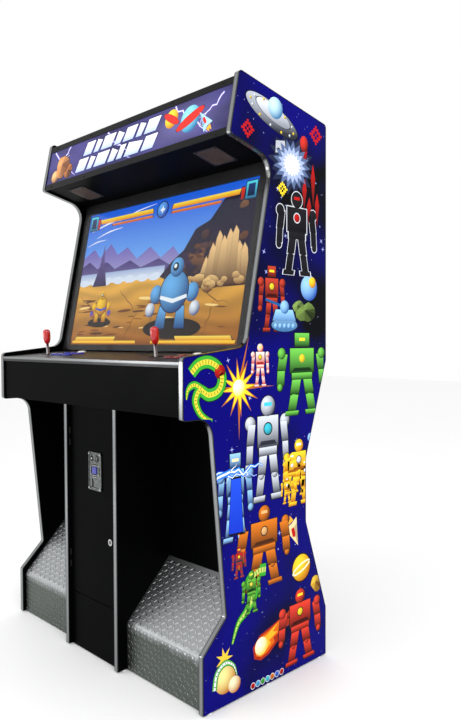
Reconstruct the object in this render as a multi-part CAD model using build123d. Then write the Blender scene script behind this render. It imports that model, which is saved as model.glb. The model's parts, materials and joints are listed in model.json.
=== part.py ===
from build123d import *
import os
from math import atan2, cos, degrees, hypot, radians, sin

# An upright two-player arcade cabinet. Millimetres. X runs across the cabinet, Y from the player
# to the back and Z up. The origin is on the floor, in the middle of the cabinet's footprint.
# Places in side view are given as depth, which starts at the front of the control box, and height.

# The picture of a 42-inch 16:9 screen sets the width.
PICTURE_WIDTH = 929.8
PICTURE_HEIGHT = 523.0
BEZEL_MARGIN = 39.6
INNER_WIDTH = PICTURE_WIDTH + 2 * BEZEL_MARGIN
HALF = INNER_WIDTH / 2
DEPTH = 606.0
HEIGHT = 1796.0

# Sheet thicknesses and the plastic T-moulding that covers a board's edge.
BOARD = 18.0
PANEL = 12.0
GRAPHIC = 0.3
GRAPHIC_MARGIN = 1.0
CROWN = 1.6
CROWN_LIP = 0.5
STEM_DEPTH = 6.0
STEM_WIDTH = 1.6
SHEET = 1.5
GLIDE_HEIGHT = 4.0
GLIDE_RADIUS = 8.0

# Side boards: depth, height and corner radius of each corner of the outer edge.
TOE_DEPTH = 66.0
BOX_BOTTOM = 818.0
MARQUEE_FOOT = (176.0, 1610.0)
MARQUEE_HEAD = (214.0, HEIGHT)
SLANT_FOOT = (239.2, 1014.5)
SLANT_HEAD = (351.0, 1567.0)
BACK_HEAD = (DEPTH, 1721.7)
BELOW_FLOOR = -40.0
SIDE_CORNERS = [
    (TOE_DEPTH, BELOW_FLOOR, 0),
    (TOE_DEPTH, 166.0, 10.0),
    (155.0, 254.0, 14.0),
    (101.4, BOX_BOTTOM, 55.0),
    (0.0, BOX_BOTTOM, 10.0),
    (0.0, 988.5, 14.0),
    (*SLANT_FOOT, 45.0),
    (*SLANT_HEAD, 58.0),
    (*MARQUEE_FOOT, 10.0),
    (*MARQUEE_HEAD, 12.0),
    (*BACK_HEAD, 12.0),
    (DEPTH, 966.0, 14.0),
    (505.0, 661.0, 25.0),
    (505.0, 460.0, 25.0),
    (DEPTH, 159.0, 14.0),
    (DEPTH, BELOW_FLOOR, 0),
]
# The chrome T-moulding covers the front, and a little of the roof. The rest is black.
CHROME_BACK = 360.0
CHROME_TOP = 1755.0
CHROME_ROOF = MARQUEE_HEAD[0] + 18.0
# How far a cutting block reaches past the cabinet.
BEYOND = 100.0

# Control deck.
DECK_SLOPE = 4.0
DECK_FRONT_HEIGHT = 975.5
DECK_BOARD = 16.0
DECK_LENGTH = 262.6
STICK_DEPTH = 120.0
STICK_PLACES = {"left": -390.0, "right": 256.0}
STICK_HOLE = 15.0
BUTTON_OFFSET = 91.0
BUTTON_PITCH = 44.0
BUTTON_ROWS = (96.0, 146.0)
START_OFFSET = (94.0, 205.0)
BUTTON_HOLE = 14.3

# Joystick. The stick turns in a ring, and the ring turns in the housing.
PIVOT_DROP = -30.0
HOUSING_HALF = 31.0
HOUSING_WALL = 5.0
HOUSING_FLOOR = -52.0
RING_OUTER = 16.0
RING_INNER = 11.0
RING_HALF_HEIGHT = 4.0
RING_PIN = 2.5
STICK_PIN = 2.0
FIT = 0.06
SHAFT = 5.5
BAT_FOOT = 40.0
BAT_LENGTH = 52.0
BAT_RADIUS = 13.5
BAT_NECK = 7.5
BAT_SHOULDER = 36.0

# Push buttons.
RIM_RADIUS = 16.5
RIM_HEIGHT = 3.5
BARREL_RADIUS = 14.0
BARREL_LENGTH = 30.0
NUT_RADIUS = 17.5
PLUNGER_RADIUS = 12.0
PLUNGER_GAP = 0.3
PLUNGER_TOP = 6.0
PLUNGER_FOOT = -18.0
PLUNGER_WELL = -22.0
DISH_RADIUS = 40.0
DISH_DEPTH = 1.2

# Leg of the cabinet: a column with the coin door, between two foot recesses.
COLUMN_FRONT = 43.0
COLUMN_INNER = 134.0
COLUMN_OUTER = COLUMN_INNER + BOARD
RECESS_DEPTH = 251.0
BOX_FLOOR = 826.0
KICK_FRONT = 79.0
KICK_BEND = 150.0
KICK_RADIUS = 30.0
KICK_TOP = 325.0
KICK_THICKNESS = 3.0
DOOR_FRONT = 57.0
DOOR_BACK = DOOR_FRONT + BOARD
DOOR_HALF = 131.5
DOOR_FOOT = 189.0
DOOR_HEAD = 821.0
PLINTH_HEAD = 186.0
HINGE_X = -129.8
HINGE_DEPTH = 53.0
HINGE_RADIUS = 3.5
HINGE_PIN = 1.5
HINGE_HEIGHTS = (300.0, 712.0)
KNUCKLE = 20.0
KNUCKLE_GAP = 0.4
LEAF = 1.0
LOCK_X = 100.0
LOCK_HEIGHT = 397.0
LOCK_PLUG = 6.0
CAM_LENGTH = 30.0

# Coin mechanism on the door.
MECH_LOW = (-18.0, 550.0)
MECH_HIGH = (54.0, 673.0)
MECH_FRONT = 54.5
MECH_BACK = 120.0
MECH_RIM = 1.2
SLOT_X = 25.0
SLOT_HEIGHT = 652.0
REJECT_X = 16.0
REJECT_HEIGHT = 614.0
REJECT_HALF_X = 12.0
REJECT_HALF_Z = 11.5
CUP_LOW = (0.0, 558.0)
CUP_HIGH = (37.0, 588.0)
FLAP_PIN = 2.0

# Screen and marquee.
SLANT = degrees(atan2(SLANT_HEAD[0] - SLANT_FOOT[0], SLANT_HEAD[1] - SLANT_FOOT[1]))
PICTURE_CENTRE = (311.5, 1274.3)
MARQUEE_SLANT = degrees(atan2(MARQUEE_HEAD[0] - MARQUEE_FOOT[0], MARQUEE_HEAD[1] - MARQUEE_FOOT[1]))
MARQUEE_LOW = 22.0
MARQUEE_HIGH = 152.0
MARQUEE_TOP = 174.0
ROOF_SLOPE = degrees(atan2(MARQUEE_HEAD[1] - BACK_HEAD[1], BACK_HEAD[0] - MARQUEE_HEAD[0]))
ROOF_DROP = 15.0
ROOF_BOARD = 15.0
SPEAKER_LIFT = 7.0
SPEAKER_X = 360.0
SPEAKER_REACH = 99.0
SPEAKER_CONE = 44.0

# Back boards, inset between the side boards.
BACK_INSET = 12.0
SHELF_TOP = 38.0
BACK_LINE = [(DEPTH, 1693.0), (DEPTH, 966.0), (505.0, 661.0), (505.0, 460.0), (DEPTH, 159.0), (DEPTH, 8.0)]
VENT_PLACES = (-250.0, 0.0, 250.0)
VENT_ROWS = 7
VENT_FOOT = 1450.0
VENT_PITCH = 22.0
VENT_LENGTH = 140.0
VENT_WIDTH = 7.0
INLET_X = -380.0
INLET_HEIGHT = 95.0
INLET_HALF_X = 23.5
INLET_HALF_Z = 13.5
ROCKER_PIN = 1.5

os.makedirs("parts", exist_ok=True)


def save(name, *shapes):
    """Writes every solid of the shapes as one node."""
    solids = [solid for shape in shapes for solid in shape.solids()]
    export_step(Compound(solids), f"parts/{name}.step")


def at(depth):
    """The Y of a depth behind the front of the control box."""
    return depth - DEPTH / 2


def block(x_low, x_high, y_low, y_high, z_low, z_high):
    middle = Pos((x_low + x_high) / 2, (y_low + y_high) / 2, (z_low + z_high) / 2)
    return middle * Box(x_high - x_low, y_high - y_low, z_high - z_low)


def upright(x_low, x_high, depth_low, depth_high, z_low, z_high):
    """A block placed by its depths."""
    return block(x_low, x_high, at(depth_low), at(depth_high), z_low, z_high)


def rod(radius, low, high, x=0.0, y=0.0):
    """A cylinder along the local Z."""
    return Pos(x, y, (low + high) / 2) * Cylinder(radius, high - low)


def rod_x(radius, low, high, y=0.0, z=0.0):
    """A cylinder along the local X."""
    return Pos((low + high) / 2, y, z) * Rot(0, 90, 0) * Cylinder(radius, high - low)


def rod_y(radius, low, high, x=0.0, z=0.0):
    """A cylinder along the local Y."""
    return Pos(x, (low + high) / 2, z) * Rot(90, 0, 0) * Cylinder(radius, high - low)


def side_face(corners):
    """A closed outline in side view, from depth, height and corner radius."""
    points = [(at(depth), height) for depth, height, radius in corners]
    radii = [radius for depth, height, radius in corners]
    return make_face(FilletPolyline(*points, radius=radii, close=True))


def slab(face, x_low, x_high):
    """A side-view face given its thickness across the cabinet."""
    return extrude(Plane.YZ.offset(x_low) * face, amount=x_high - x_low, dir=(1, 0, 0))


def ordered(side, near, far):
    return sorted((side * near, side * far))


def parallel(chain, distance):
    """A chain of side-view points, moved to the right of its own direction."""
    moved = []
    last = len(chain) - 1
    for i, (depth, height) in enumerate(chain):
        normals = []
        for start, end in ((max(i - 1, 0), max(i, 1)), (min(i, last - 1), min(i + 1, last))):
            run, rise = chain[end][0] - chain[start][0], chain[end][1] - chain[start][1]
            length = hypot(run, rise)
            normals.append((rise / length, -run / length))
        (ax, az), (bx, bz) = normals
        reach = distance / (1 + ax * bx + az * bz)
        moved.append((depth + reach * (ax + bx), height + reach * (az + bz)))
    return moved


def slanted_plane(depth, height, angle):
    """X across, Y up the slope and Z out towards the player, leaning back by angle."""
    lean = radians(angle)
    return Plane(origin=(0, at(depth), height), x_dir=(1, 0, 0), z_dir=(0, -cos(lean), sin(lean)))


DECK = Plane(
    origin=(0, at(0), DECK_FRONT_HEIGHT),
    x_dir=(1, 0, 0),
    z_dir=(0, -sin(radians(DECK_SLOPE)), cos(radians(DECK_SLOPE))),
)
SCREEN = slanted_plane(*PICTURE_CENTRE, SLANT)
MARQUEE = slanted_plane(*MARQUEE_FOOT, MARQUEE_SLANT)
ROOF = Plane(
    origin=(0, at(MARQUEE_HEAD[0]), MARQUEE_HEAD[1]),
    x_dir=(1, 0, 0),
    z_dir=(0, sin(radians(ROOF_SLOPE)), cos(radians(ROOF_SLOPE))),
)
# The underside of the speaker board: Y runs back and Z points down at the player.
SPEAKER_SLOPE = atan2(MARQUEE_FOOT[1] - SLANT_HEAD[1], SLANT_HEAD[0] - MARQUEE_FOOT[0])
SPEAKER = Plane(
    origin=(0, at(MARQUEE_FOOT[0]), MARQUEE_FOOT[1] + SPEAKER_LIFT),
    x_dir=(-1, 0, 0),
    z_dir=(0, -sin(SPEAKER_SLOPE), -cos(SPEAKER_SLOPE)),
)


def side_boards():
    """Side boards with their graphics and the T-moulding pressed into their edges."""
    edge = side_face(SIDE_CORNERS)
    core = offset(edge, -CROWN)
    stem_root = offset(core, -STEM_DEPTH)
    graphic = offset(core, -GRAPHIC_MARGIN)
    under = upright(-2 * HALF, 2 * HALF, -BEYOND, DEPTH + BEYOND, 2 * BELOW_FLOOR, GLIDE_HEIGHT)
    chrome_zone = upright(-2 * HALF, 2 * HALF, -BEYOND, CHROME_BACK, 0, CHROME_TOP)
    chrome_zone += upright(-2 * HALF, 2 * HALF, -BEYOND, CHROME_ROOF, CHROME_TOP, HEIGHT + BEYOND)
    graphics, chrome, black = [], [], []
    for name, side in (("left", -1), ("right", 1)):
        board = slab(core, *ordered(side, HALF, HALF + BOARD))
        crown = slab(edge - core, *ordered(side, HALF, HALF + BOARD + CROWN_LIP))
        middle = HALF + BOARD / 2
        stem = slab(core - stem_root, *ordered(side, middle - STEM_WIDTH / 2, middle + STEM_WIDTH / 2))
        save(f"side_panel_{name}", board - stem - under)
        skin = slab(graphic, *ordered(side, HALF + BOARD, HALF + BOARD + GRAPHIC))
        graphics.append(skin - under)
        trim = crown + stem - under
        chrome.append(trim & chrome_zone)
        black.append(trim - chrome_zone)
    save("side_graphics", *graphics)
    save("front_edge_trims", *chrome)
    save("rear_edge_trims", *black)


def head():
    """Roof, marquee light box and speaker board."""
    roof_end = (DEPTH - BACK_INSET - MARQUEE_HEAD[0]) / cos(radians(ROOF_SLOPE))
    save("roof_panel", ROOF * block(-HALF, HALF, 8, roof_end, -ROOF_DROP - ROOF_BOARD, -ROOF_DROP))
    save("marquee_panel", MARQUEE * block(-HALF + 0.5, HALF - 0.5, 4, MARQUEE_TOP - 4, -6, -3))
    save(
        "marquee_retainers",
        MARQUEE * block(-HALF, HALF, 0, MARQUEE_LOW, -3, -1.5),
        MARQUEE * block(-HALF, HALF, MARQUEE_HIGH, MARQUEE_TOP, -3, -1.5),
    )
    ceiling = -ROOF_DROP - ROOF_BOARD
    fitting = block(-440, 440, 40, 80, ceiling - 22, ceiling)
    for low in (-440, 430):
        fitting += block(low, low + 10, 44, 76, ceiling - 58, ceiling - 22)
    save("marquee_lamp", ROOF * fitting, ROOF * rod_x(13, -430, 430, 60, ceiling - 40))

    board = block(-HALF, HALF, 10, 190, -PANEL, 0)
    grilles, speakers = [], []
    for x in (-SPEAKER_X, SPEAKER_X):
        board -= rod(SPEAKER_CONE, -PANEL - 1, 1, x, SPEAKER_REACH)
        grille = block(x - 50, x + 50, SPEAKER_REACH - 48, SPEAKER_REACH + 48, 0, 2)
        for row in range(-3, 4):
            middle = SPEAKER_REACH + row * 11
            grille -= block(x - 38, x + 38, middle - 2.5, middle + 2.5, -1, 3)
        grilles.append(SPEAKER * grille)
        frame = block(x - 51, x + 51, SPEAKER_REACH - 51, SPEAKER_REACH + 51, -PANEL - 2, -PANEL)
        frame += Pos(x, SPEAKER_REACH, -PANEL - 15) * Cone(22, 46, 30)
        frame += rod(30, -PANEL - 44, -PANEL - 28, x, SPEAKER_REACH)
        speakers.append(SPEAKER * frame)
    save("speaker_board", SPEAKER * board)
    save("speaker_grilles", *grilles)
    save("speakers", *speakers)


def pan(half_x, half_y, low, high):
    """A folded sheet-metal tray, closed at its low side."""
    tray = block(-half_x, half_x, -half_y, half_y, low, high)
    inner_x, inner_y = half_x - SHEET, half_y - SHEET
    return tray - block(-inner_x, inner_x, -inner_y, inner_y, low + SHEET, high)


def screen():
    """Monitor, its chassis and rails, and the bezel and glass in front of it."""
    low, high = -284.0, 310.0
    bezel = block(-HALF, HALF, low, high, 1, 5)
    opening_x, opening_y = PICTURE_WIDTH / 2 + 1, PICTURE_HEIGHT / 2 + 1
    bezel -= block(-opening_x, opening_x, -opening_y, opening_y, 0, 6)
    save("screen_bezel", SCREEN * bezel)
    save("screen_glass", SCREEN * block(-HALF + 1, HALF - 1, low, high, 5, 8))
    rim = 9.0
    panel_x, panel_y = PICTURE_WIDTH / 2 + rim, PICTURE_HEIGHT / 2 + rim
    save("monitor_panel", SCREEN * block(-panel_x, panel_x, -panel_y, panel_y, -PANEL, 0))
    chassis = pan(440, 240, -47, -PANEL)
    chassis += pan(200, 150, -62, -47 + SHEET)
    chassis -= block(-200 + SHEET, 200 - SHEET, -150 + SHEET, 150 - SHEET, -62 + SHEET, -PANEL)
    rails = []
    for middle in (-110, 110):
        rail = block(-HALF, HALF, middle - 20, middle + 20, -82, -62)
        rail -= block(-HALF, HALF, middle - 20 + SHEET, middle + 20 - SHEET, -82, -62 - SHEET)
        rails.append(SCREEN * rail)
    save("monitor_chassis", SCREEN * chassis, *rails)


def button_places(stick_x):
    """X and deck length of the six action buttons beside a stick."""
    columns = [stick_x + BUTTON_OFFSET + column * BUTTON_PITCH for column in range(3)]
    return [(x, row) for row in BUTTON_ROWS for x in columns]


def push_button(x, y):
    """Housing, plunger, nut and microswitch of one button, in the deck's own plane."""
    rim = rod(RIM_RADIUS, 0, RIM_HEIGHT, x, y)
    rim = chamfer(rim.edges().group_by(Axis.Z)[-1], 1.2)
    housing = rim + rod(BARREL_RADIUS, -BARREL_LENGTH, 0, x, y)
    housing -= rod(PLUNGER_RADIUS + PLUNGER_GAP, PLUNGER_WELL, RIM_HEIGHT + 1, x, y)
    plunger = rod(PLUNGER_RADIUS, PLUNGER_FOOT, PLUNGER_TOP, x, y)
    plunger = fillet(plunger.edges().group_by(Axis.Z)[-1], 1.5)
    plunger -= Pos(x, y, PLUNGER_TOP - DISH_DEPTH + DISH_RADIUS) * Sphere(DISH_RADIUS)
    nut = rod(NUT_RADIUS, -DECK_BOARD - 6, -DECK_BOARD, x, y)
    nut -= rod(BARREL_RADIUS + FIT, -DECK_BOARD - 7, 0, x, y)
    switch = block(x - 10, x + 10, y - 5, y + 5, -BARREL_LENGTH - 16, -BARREL_LENGTH)
    return housing, plunger, nut, switch


def bat_top():
    """The bat-shaped knob of a joystick, round about the shaft."""
    top = (0, BAT_FOOT + BAT_LENGTH)
    foot = (BAT_NECK, BAT_FOOT)
    widest = (BAT_RADIUS, BAT_FOOT + BAT_SHOULDER)
    line = Polyline(top, (0, BAT_FOOT), foot)
    line += Spline(foot, (BAT_NECK + 2, BAT_FOOT + 9), widest, tangents=((0.15, 1), (0, 1)))
    line += Spline(widest, top, tangents=((0, 1), (-1, 0)))
    return revolve(Plane.XZ * make_face(line), Axis.Z)


def joystick(name, x):
    """Housing of one joystick; its gimbal ring and its stick are saved as moving pieces."""
    inside = HOUSING_HALF - HOUSING_WALL
    housing = block(-HOUSING_HALF, HOUSING_HALF, -HOUSING_HALF, HOUSING_HALF, HOUSING_FLOOR, -DECK_BOARD - 2)
    housing -= block(-inside, inside, -inside, inside, HOUSING_FLOOR + 2, 0)
    housing += block(-48, 48, -31, 31, -DECK_BOARD - 2, -DECK_BOARD) - rod(STICK_HOLE, -30, 0)
    housing -= rod_x(RING_PIN + FIT, -inside - 3, inside + 3, 0, PIVOT_DROP)

    ring = rod(RING_OUTER, -RING_HALF_HEIGHT, RING_HALF_HEIGHT) - rod(RING_INNER, -5, 5)
    ring -= rod_y(STICK_PIN + FIT, -RING_OUTER - 1, RING_OUTER + 1)
    for side in (-1, 1):
        ring += rod_x(RING_PIN, *ordered(side, RING_OUTER - 1, inside + 2.5))

    shaft = rod(SHAFT, -16, BAT_FOOT - PIVOT_DROP) + rod(9, -16, -8)
    shaft += rod_y(STICK_PIN, -RING_OUTER + 1.5, RING_OUTER - 1.5)
    place = DECK * Pos(x, STICK_DEPTH, 0)
    pivot = place * Pos(0, 0, PIVOT_DROP)
    save(f"stick_ring_{name}", pivot * ring)
    save(f"stick_{name}", pivot * shaft, place * bat_top())
    return place * housing


def controls():
    """Deck board, joysticks and push buttons."""
    deck = block(-HALF, HALF, CROWN, DECK_LENGTH, -DECK_BOARD, 0)
    middle = -DECK_BOARD / 2
    deck -= block(-HALF, HALF, CROWN, CROWN + STEM_DEPTH, middle - STEM_WIDTH / 2, middle + STEM_WIDTH / 2)
    housings = {"left": [], "right": [], "start": []}
    fittings, bases = [], []
    for name, stick_x in STICK_PLACES.items():
        bases.append(joystick(name, stick_x))
        deck -= rod(STICK_HOLE, -DECK_BOARD - 1, 1, stick_x, STICK_DEPTH)
        start = (stick_x + START_OFFSET[0], START_OFFSET[1])
        for number, (x, y) in enumerate([*button_places(stick_x), start], 1):
            housing, plunger, nut, switch = push_button(x, y)
            deck -= rod(BUTTON_HOLE, -DECK_BOARD - 1, 1, x, y)
            group = "start" if number == 7 else name
            label = f"start_plunger_{name}" if number == 7 else f"plunger_{name}_{number}"
            housings[group].append(DECK * housing)
            fittings += [DECK * nut, DECK * switch]
            save(label, DECK * plunger)
    save("control_deck", DECK * deck)
    save("joystick_housings", *bases)
    save("button_switches", *fittings)
    for group, shapes in housings.items():
        save(f"button_housings_{group}", *shapes)


def control_box():
    """Apron and floor of the control box, and the T-moulding of the deck and the column."""
    apron_top = DECK_FRONT_HEIGHT - DECK_BOARD
    save(
        "control_box",
        upright(-HALF, HALF, 6, 6 + PANEL, BOX_FLOOR, apron_top),
        upright(-HALF, HALF, 6 + PANEL, RECESS_DEPTH, BOX_FLOOR, BOX_FLOOR + PANEL),
    )
    middle = -DECK_BOARD / 2
    strip = block(-HALF, HALF, 0, CROWN, -DECK_BOARD, 0)
    strip += block(-HALF, HALF, CROWN, CROWN + STEM_DEPTH, middle - STEM_WIDTH / 2, middle + STEM_WIDTH / 2)
    trims = [DECK * strip]
    partitions = []
    board_front = COLUMN_FRONT + CROWN
    for side in (-1, 1):
        middle = side * (COLUMN_INNER + COLUMN_OUTER) / 2
        stem_x = (middle - STEM_WIDTH / 2, middle + STEM_WIDTH / 2)
        stem = upright(*stem_x, board_front, board_front + STEM_DEPTH, GLIDE_HEIGHT, BOX_FLOOR)
        x_range = ordered(side, COLUMN_INNER, COLUMN_OUTER)
        board = upright(*x_range, board_front, RECESS_DEPTH + PANEL, GLIDE_HEIGHT, BOX_FLOOR)
        partitions.append(board - stem)
        trims.append(upright(*x_range, COLUMN_FRONT, board_front, GLIDE_HEIGHT, BOX_FLOOR) + stem)
    save("inner_edge_trims", *trims)
    save("column_partitions", *partitions)
    save("plinth_panel", upright(-COLUMN_INNER, COLUMN_INNER, 58, 58 + PANEL, GLIDE_HEIGHT, PLINTH_HEAD))


def foot_recesses():
    """Tread-plate kick plates and the panels behind the player's feet."""
    line = [(KICK_FRONT, GLIDE_HEIGHT), (KICK_FRONT, KICK_BEND), (RECESS_DEPTH, KICK_TOP)]
    inner = parallel(line, KICK_THICKNESS)
    corners = [(*line[0], 0), (*line[1], KICK_RADIUS), (*line[2], 0)]
    corners += [(*inner[2], 0), (*inner[1], KICK_RADIUS - KICK_THICKNESS), (*inner[0], 0)]
    profile = side_face(corners)
    kicks, panels = [], []
    for side in (-1, 1):
        x_range = ordered(side, COLUMN_OUTER, HALF)
        panel = upright(*x_range, RECESS_DEPTH, RECESS_DEPTH + PANEL, KICK_TOP - 40, BOX_FLOOR)
        kick = slab(profile, *x_range) - upright(*x_range, RECESS_DEPTH, DEPTH, 0, BOX_FLOOR)
        kicks.append(kick)
        panels.append(panel)
    save("kick_plates", *kicks)
    save("recess_panels", *panels)


def back():
    """Back boards, shelves, glides, and the electrics that sit on them."""
    outer, inner = parallel(BACK_LINE, BACK_INSET), parallel(BACK_LINE, BACK_INSET + PANEL)
    boards = []
    for i in range(len(BACK_LINE) - 1):
        corners = [(*outer[i], 0), (*outer[i + 1], 0), (*inner[i + 1], 0), (*inner[i], 0)]
        boards.append(slab(side_face(corners), -HALF, HALF))
    for x in VENT_PLACES:
        for row in range(VENT_ROWS):
            height = VENT_FOOT + row * VENT_PITCH
            ends = (x - VENT_LENGTH / 2, x + VENT_LENGTH / 2)
            boards[0] -= upright(*ends, DEPTH - BEYOND, DEPTH, height, height + VENT_WIDTH)
    low, high = INLET_HEIGHT - INLET_HALF_Z, INLET_HEIGHT + INLET_HALF_Z
    boards[-1] -= upright(INLET_X - INLET_HALF_X, INLET_X + INLET_HALF_X, DEPTH - BEYOND, DEPTH, low, high)
    save("back_panels", *boards)
    save(
        "inner_shelves",
        upright(-HALF, HALF, RECESS_DEPTH + PANEL, DEPTH - BACK_INSET - PANEL, SHELF_TOP - BOARD, SHELF_TOP),
        upright(-COLUMN_INNER, COLUMN_INNER, 80, RECESS_DEPTH + PANEL, PLINTH_HEAD, PLINTH_HEAD + PANEL),
    )
    computer = upright(150, 400, 330, 540, SHELF_TOP, 238)
    computer -= upright(150 + SHEET, 400 - SHEET, 330 + SHEET, 540, SHELF_TOP + SHEET, 238 - SHEET)
    save("game_computer", computer)
    glides = []
    for side in (-1, 1):
        for x, depths in ((HALF, (95, 330, 575)), (COLUMN_INNER, (70, 240))):
            for depth in depths:
                glides.append(rod(GLIDE_RADIUS, 0, GLIDE_HEIGHT, side * (x + BOARD / 2), at(depth)))
    save("floor_glides", *glides)


def power_inlet():
    """Mains inlet module on the lower back board, with its rocker switch."""
    face = DEPTH - BACK_INSET
    low, high = INLET_HEIGHT - INLET_HALF_Z, INLET_HEIGHT + INLET_HALF_Z
    module = upright(INLET_X - INLET_HALF_X, INLET_X + INLET_HALF_X, face - 34, face, low, high)
    module += upright(INLET_X - 27, INLET_X + 27, face, face + 3, low - 3, high + 3)
    socket_x = INLET_X + 9
    module -= upright(socket_x - 12, socket_x + 12, face - 16, face + 4, INLET_HEIGHT - 8, INLET_HEIGHT + 8)
    for across, rise in ((-6, -2), (0, 3), (6, -2)):
        x, z = socket_x + across, INLET_HEIGHT + rise
        module += upright(x - 1, x + 1, face - 17, face - 3, z - 2, z + 2)
    switch_x = INLET_X - 13
    well = (switch_x - 6.5, switch_x + 6.5)
    module -= upright(*well, face - 14, face + 4, INLET_HEIGHT - 11.5, INLET_HEIGHT + 11.5)
    axis_y = at(face - 3)
    module -= rod_x(ROCKER_PIN + FIT, switch_x - 8.5, switch_x + 8.5, axis_y, INLET_HEIGHT)
    save("power_inlet", module)
    rocker = block(-6, 6, -6, 7, -10, 10) + rod_x(ROCKER_PIN, -8, 8)
    save("power_switch", Pos(switch_x, axis_y, INLET_HEIGHT) * Rot(-6, 0, 0) * rocker)


def hinges():
    """Fixed and moving leaves of the coin door's hinges, with their pins."""
    fixed, moving = [], []
    axis_y = at(HINGE_DEPTH)
    clear = HINGE_RADIUS + 0.5
    for height in HINGE_HEIGHTS:
        low, high = height - 1.5 * KNUCKLE, height + 1.5 * KNUCKLE
        mid_low, mid_high = height - KNUCKLE / 2, height + KNUCKLE / 2
        leaf = upright(-COLUMN_INNER, -COLUMN_INNER + LEAF, HINGE_DEPTH + clear, HINGE_DEPTH + 27, low, high)
        for start, end in ((low, mid_low), (mid_high, high)):
            leaf += upright(-COLUMN_INNER, -COLUMN_INNER + LEAF, HINGE_DEPTH, HINGE_DEPTH + clear, start, end)
            leaf += rod(HINGE_RADIUS, start, end, HINGE_X, axis_y)
        leaf += rod(HINGE_PIN, low, high, HINGE_X, axis_y)
        fixed.append(leaf)
        knuckle_low, knuckle_high = mid_low + KNUCKLE_GAP, mid_high - KNUCKLE_GAP
        edge = -DOOR_HALF
        leaf = upright(edge - LEAF, edge, HINGE_DEPTH + clear, HINGE_DEPTH + 21, low, high)
        leaf += upright(edge - LEAF, edge, HINGE_DEPTH, HINGE_DEPTH + clear, knuckle_low, knuckle_high)
        leaf += rod(HINGE_RADIUS, knuckle_low, knuckle_high, HINGE_X, axis_y)
        leaf -= rod(HINGE_PIN + FIT, low, high, HINGE_X, axis_y)
        moving.append(leaf)
    return fixed, moving


def coin_door():
    """Door of the column, its hinges and lock, and the cash box behind it."""
    fixed, moving = hinges()
    strike = upright(COLUMN_INNER - 2, COLUMN_INNER, 78, 100, LOCK_HEIGHT - 12, LOCK_HEIGHT + 12)
    lip = upright(COLUMN_INNER - 12, COLUMN_INNER - 2, 78, 80.5, LOCK_HEIGHT - 12, LOCK_HEIGHT + 12)
    save("door_fittings", *fixed, strike, lip)
    door = upright(-DOOR_HALF, DOOR_HALF, DOOR_FRONT, DOOR_BACK, DOOR_FOOT, DOOR_HEAD)
    door -= upright(MECH_LOW[0] + 8, MECH_HIGH[0] - 8, 0, 200, MECH_LOW[1] + 4, MECH_HIGH[1] - 10)
    door -= rod_y(9.6, at(0), at(200), LOCK_X, LOCK_HEIGHT)
    save("coin_door", door, *moving)

    barrel = rod_y(10.5, at(DOOR_FRONT - 3), at(DOOR_FRONT), LOCK_X, LOCK_HEIGHT)
    barrel += rod_y(9.5, at(DOOR_FRONT), at(DOOR_BACK + 7), LOCK_X, LOCK_HEIGHT)
    barrel -= rod_y(LOCK_PLUG + FIT, at(0), at(200), LOCK_X, LOCK_HEIGHT)
    nut = rod_y(13, at(DOOR_BACK), at(DOOR_BACK + 4), LOCK_X, LOCK_HEIGHT)
    nut -= rod_y(9.5, at(0), at(200), LOCK_X, LOCK_HEIGHT)
    save("lock_barrel", barrel, nut)
    cam_low = DOOR_BACK + 8
    plug = rod_y(LOCK_PLUG, at(DOOR_FRONT - 3.5), at(cam_low + 5), LOCK_X, LOCK_HEIGHT)
    plug -= upright(LOCK_X - 0.7, LOCK_X + 0.7, 0, DOOR_FRONT + 6, LOCK_HEIGHT - 3.5, LOCK_HEIGHT + 3.5)
    plug += rod_y(8, at(cam_low), at(cam_low + 2.5), LOCK_X, LOCK_HEIGHT)
    plug += upright(LOCK_X - 8, LOCK_X + 8, cam_low, cam_low + 2.5, LOCK_HEIGHT - CAM_LENGTH, LOCK_HEIGHT)
    save("lock_plug", plug)

    cash = upright(-80, 95, 95, 245, PLINTH_HEAD + PANEL, 318)
    cash -= upright(-78, 93, 97, 243, PLINTH_HEAD + PANEL + 2, 320)
    save("cash_box", cash)


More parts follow.
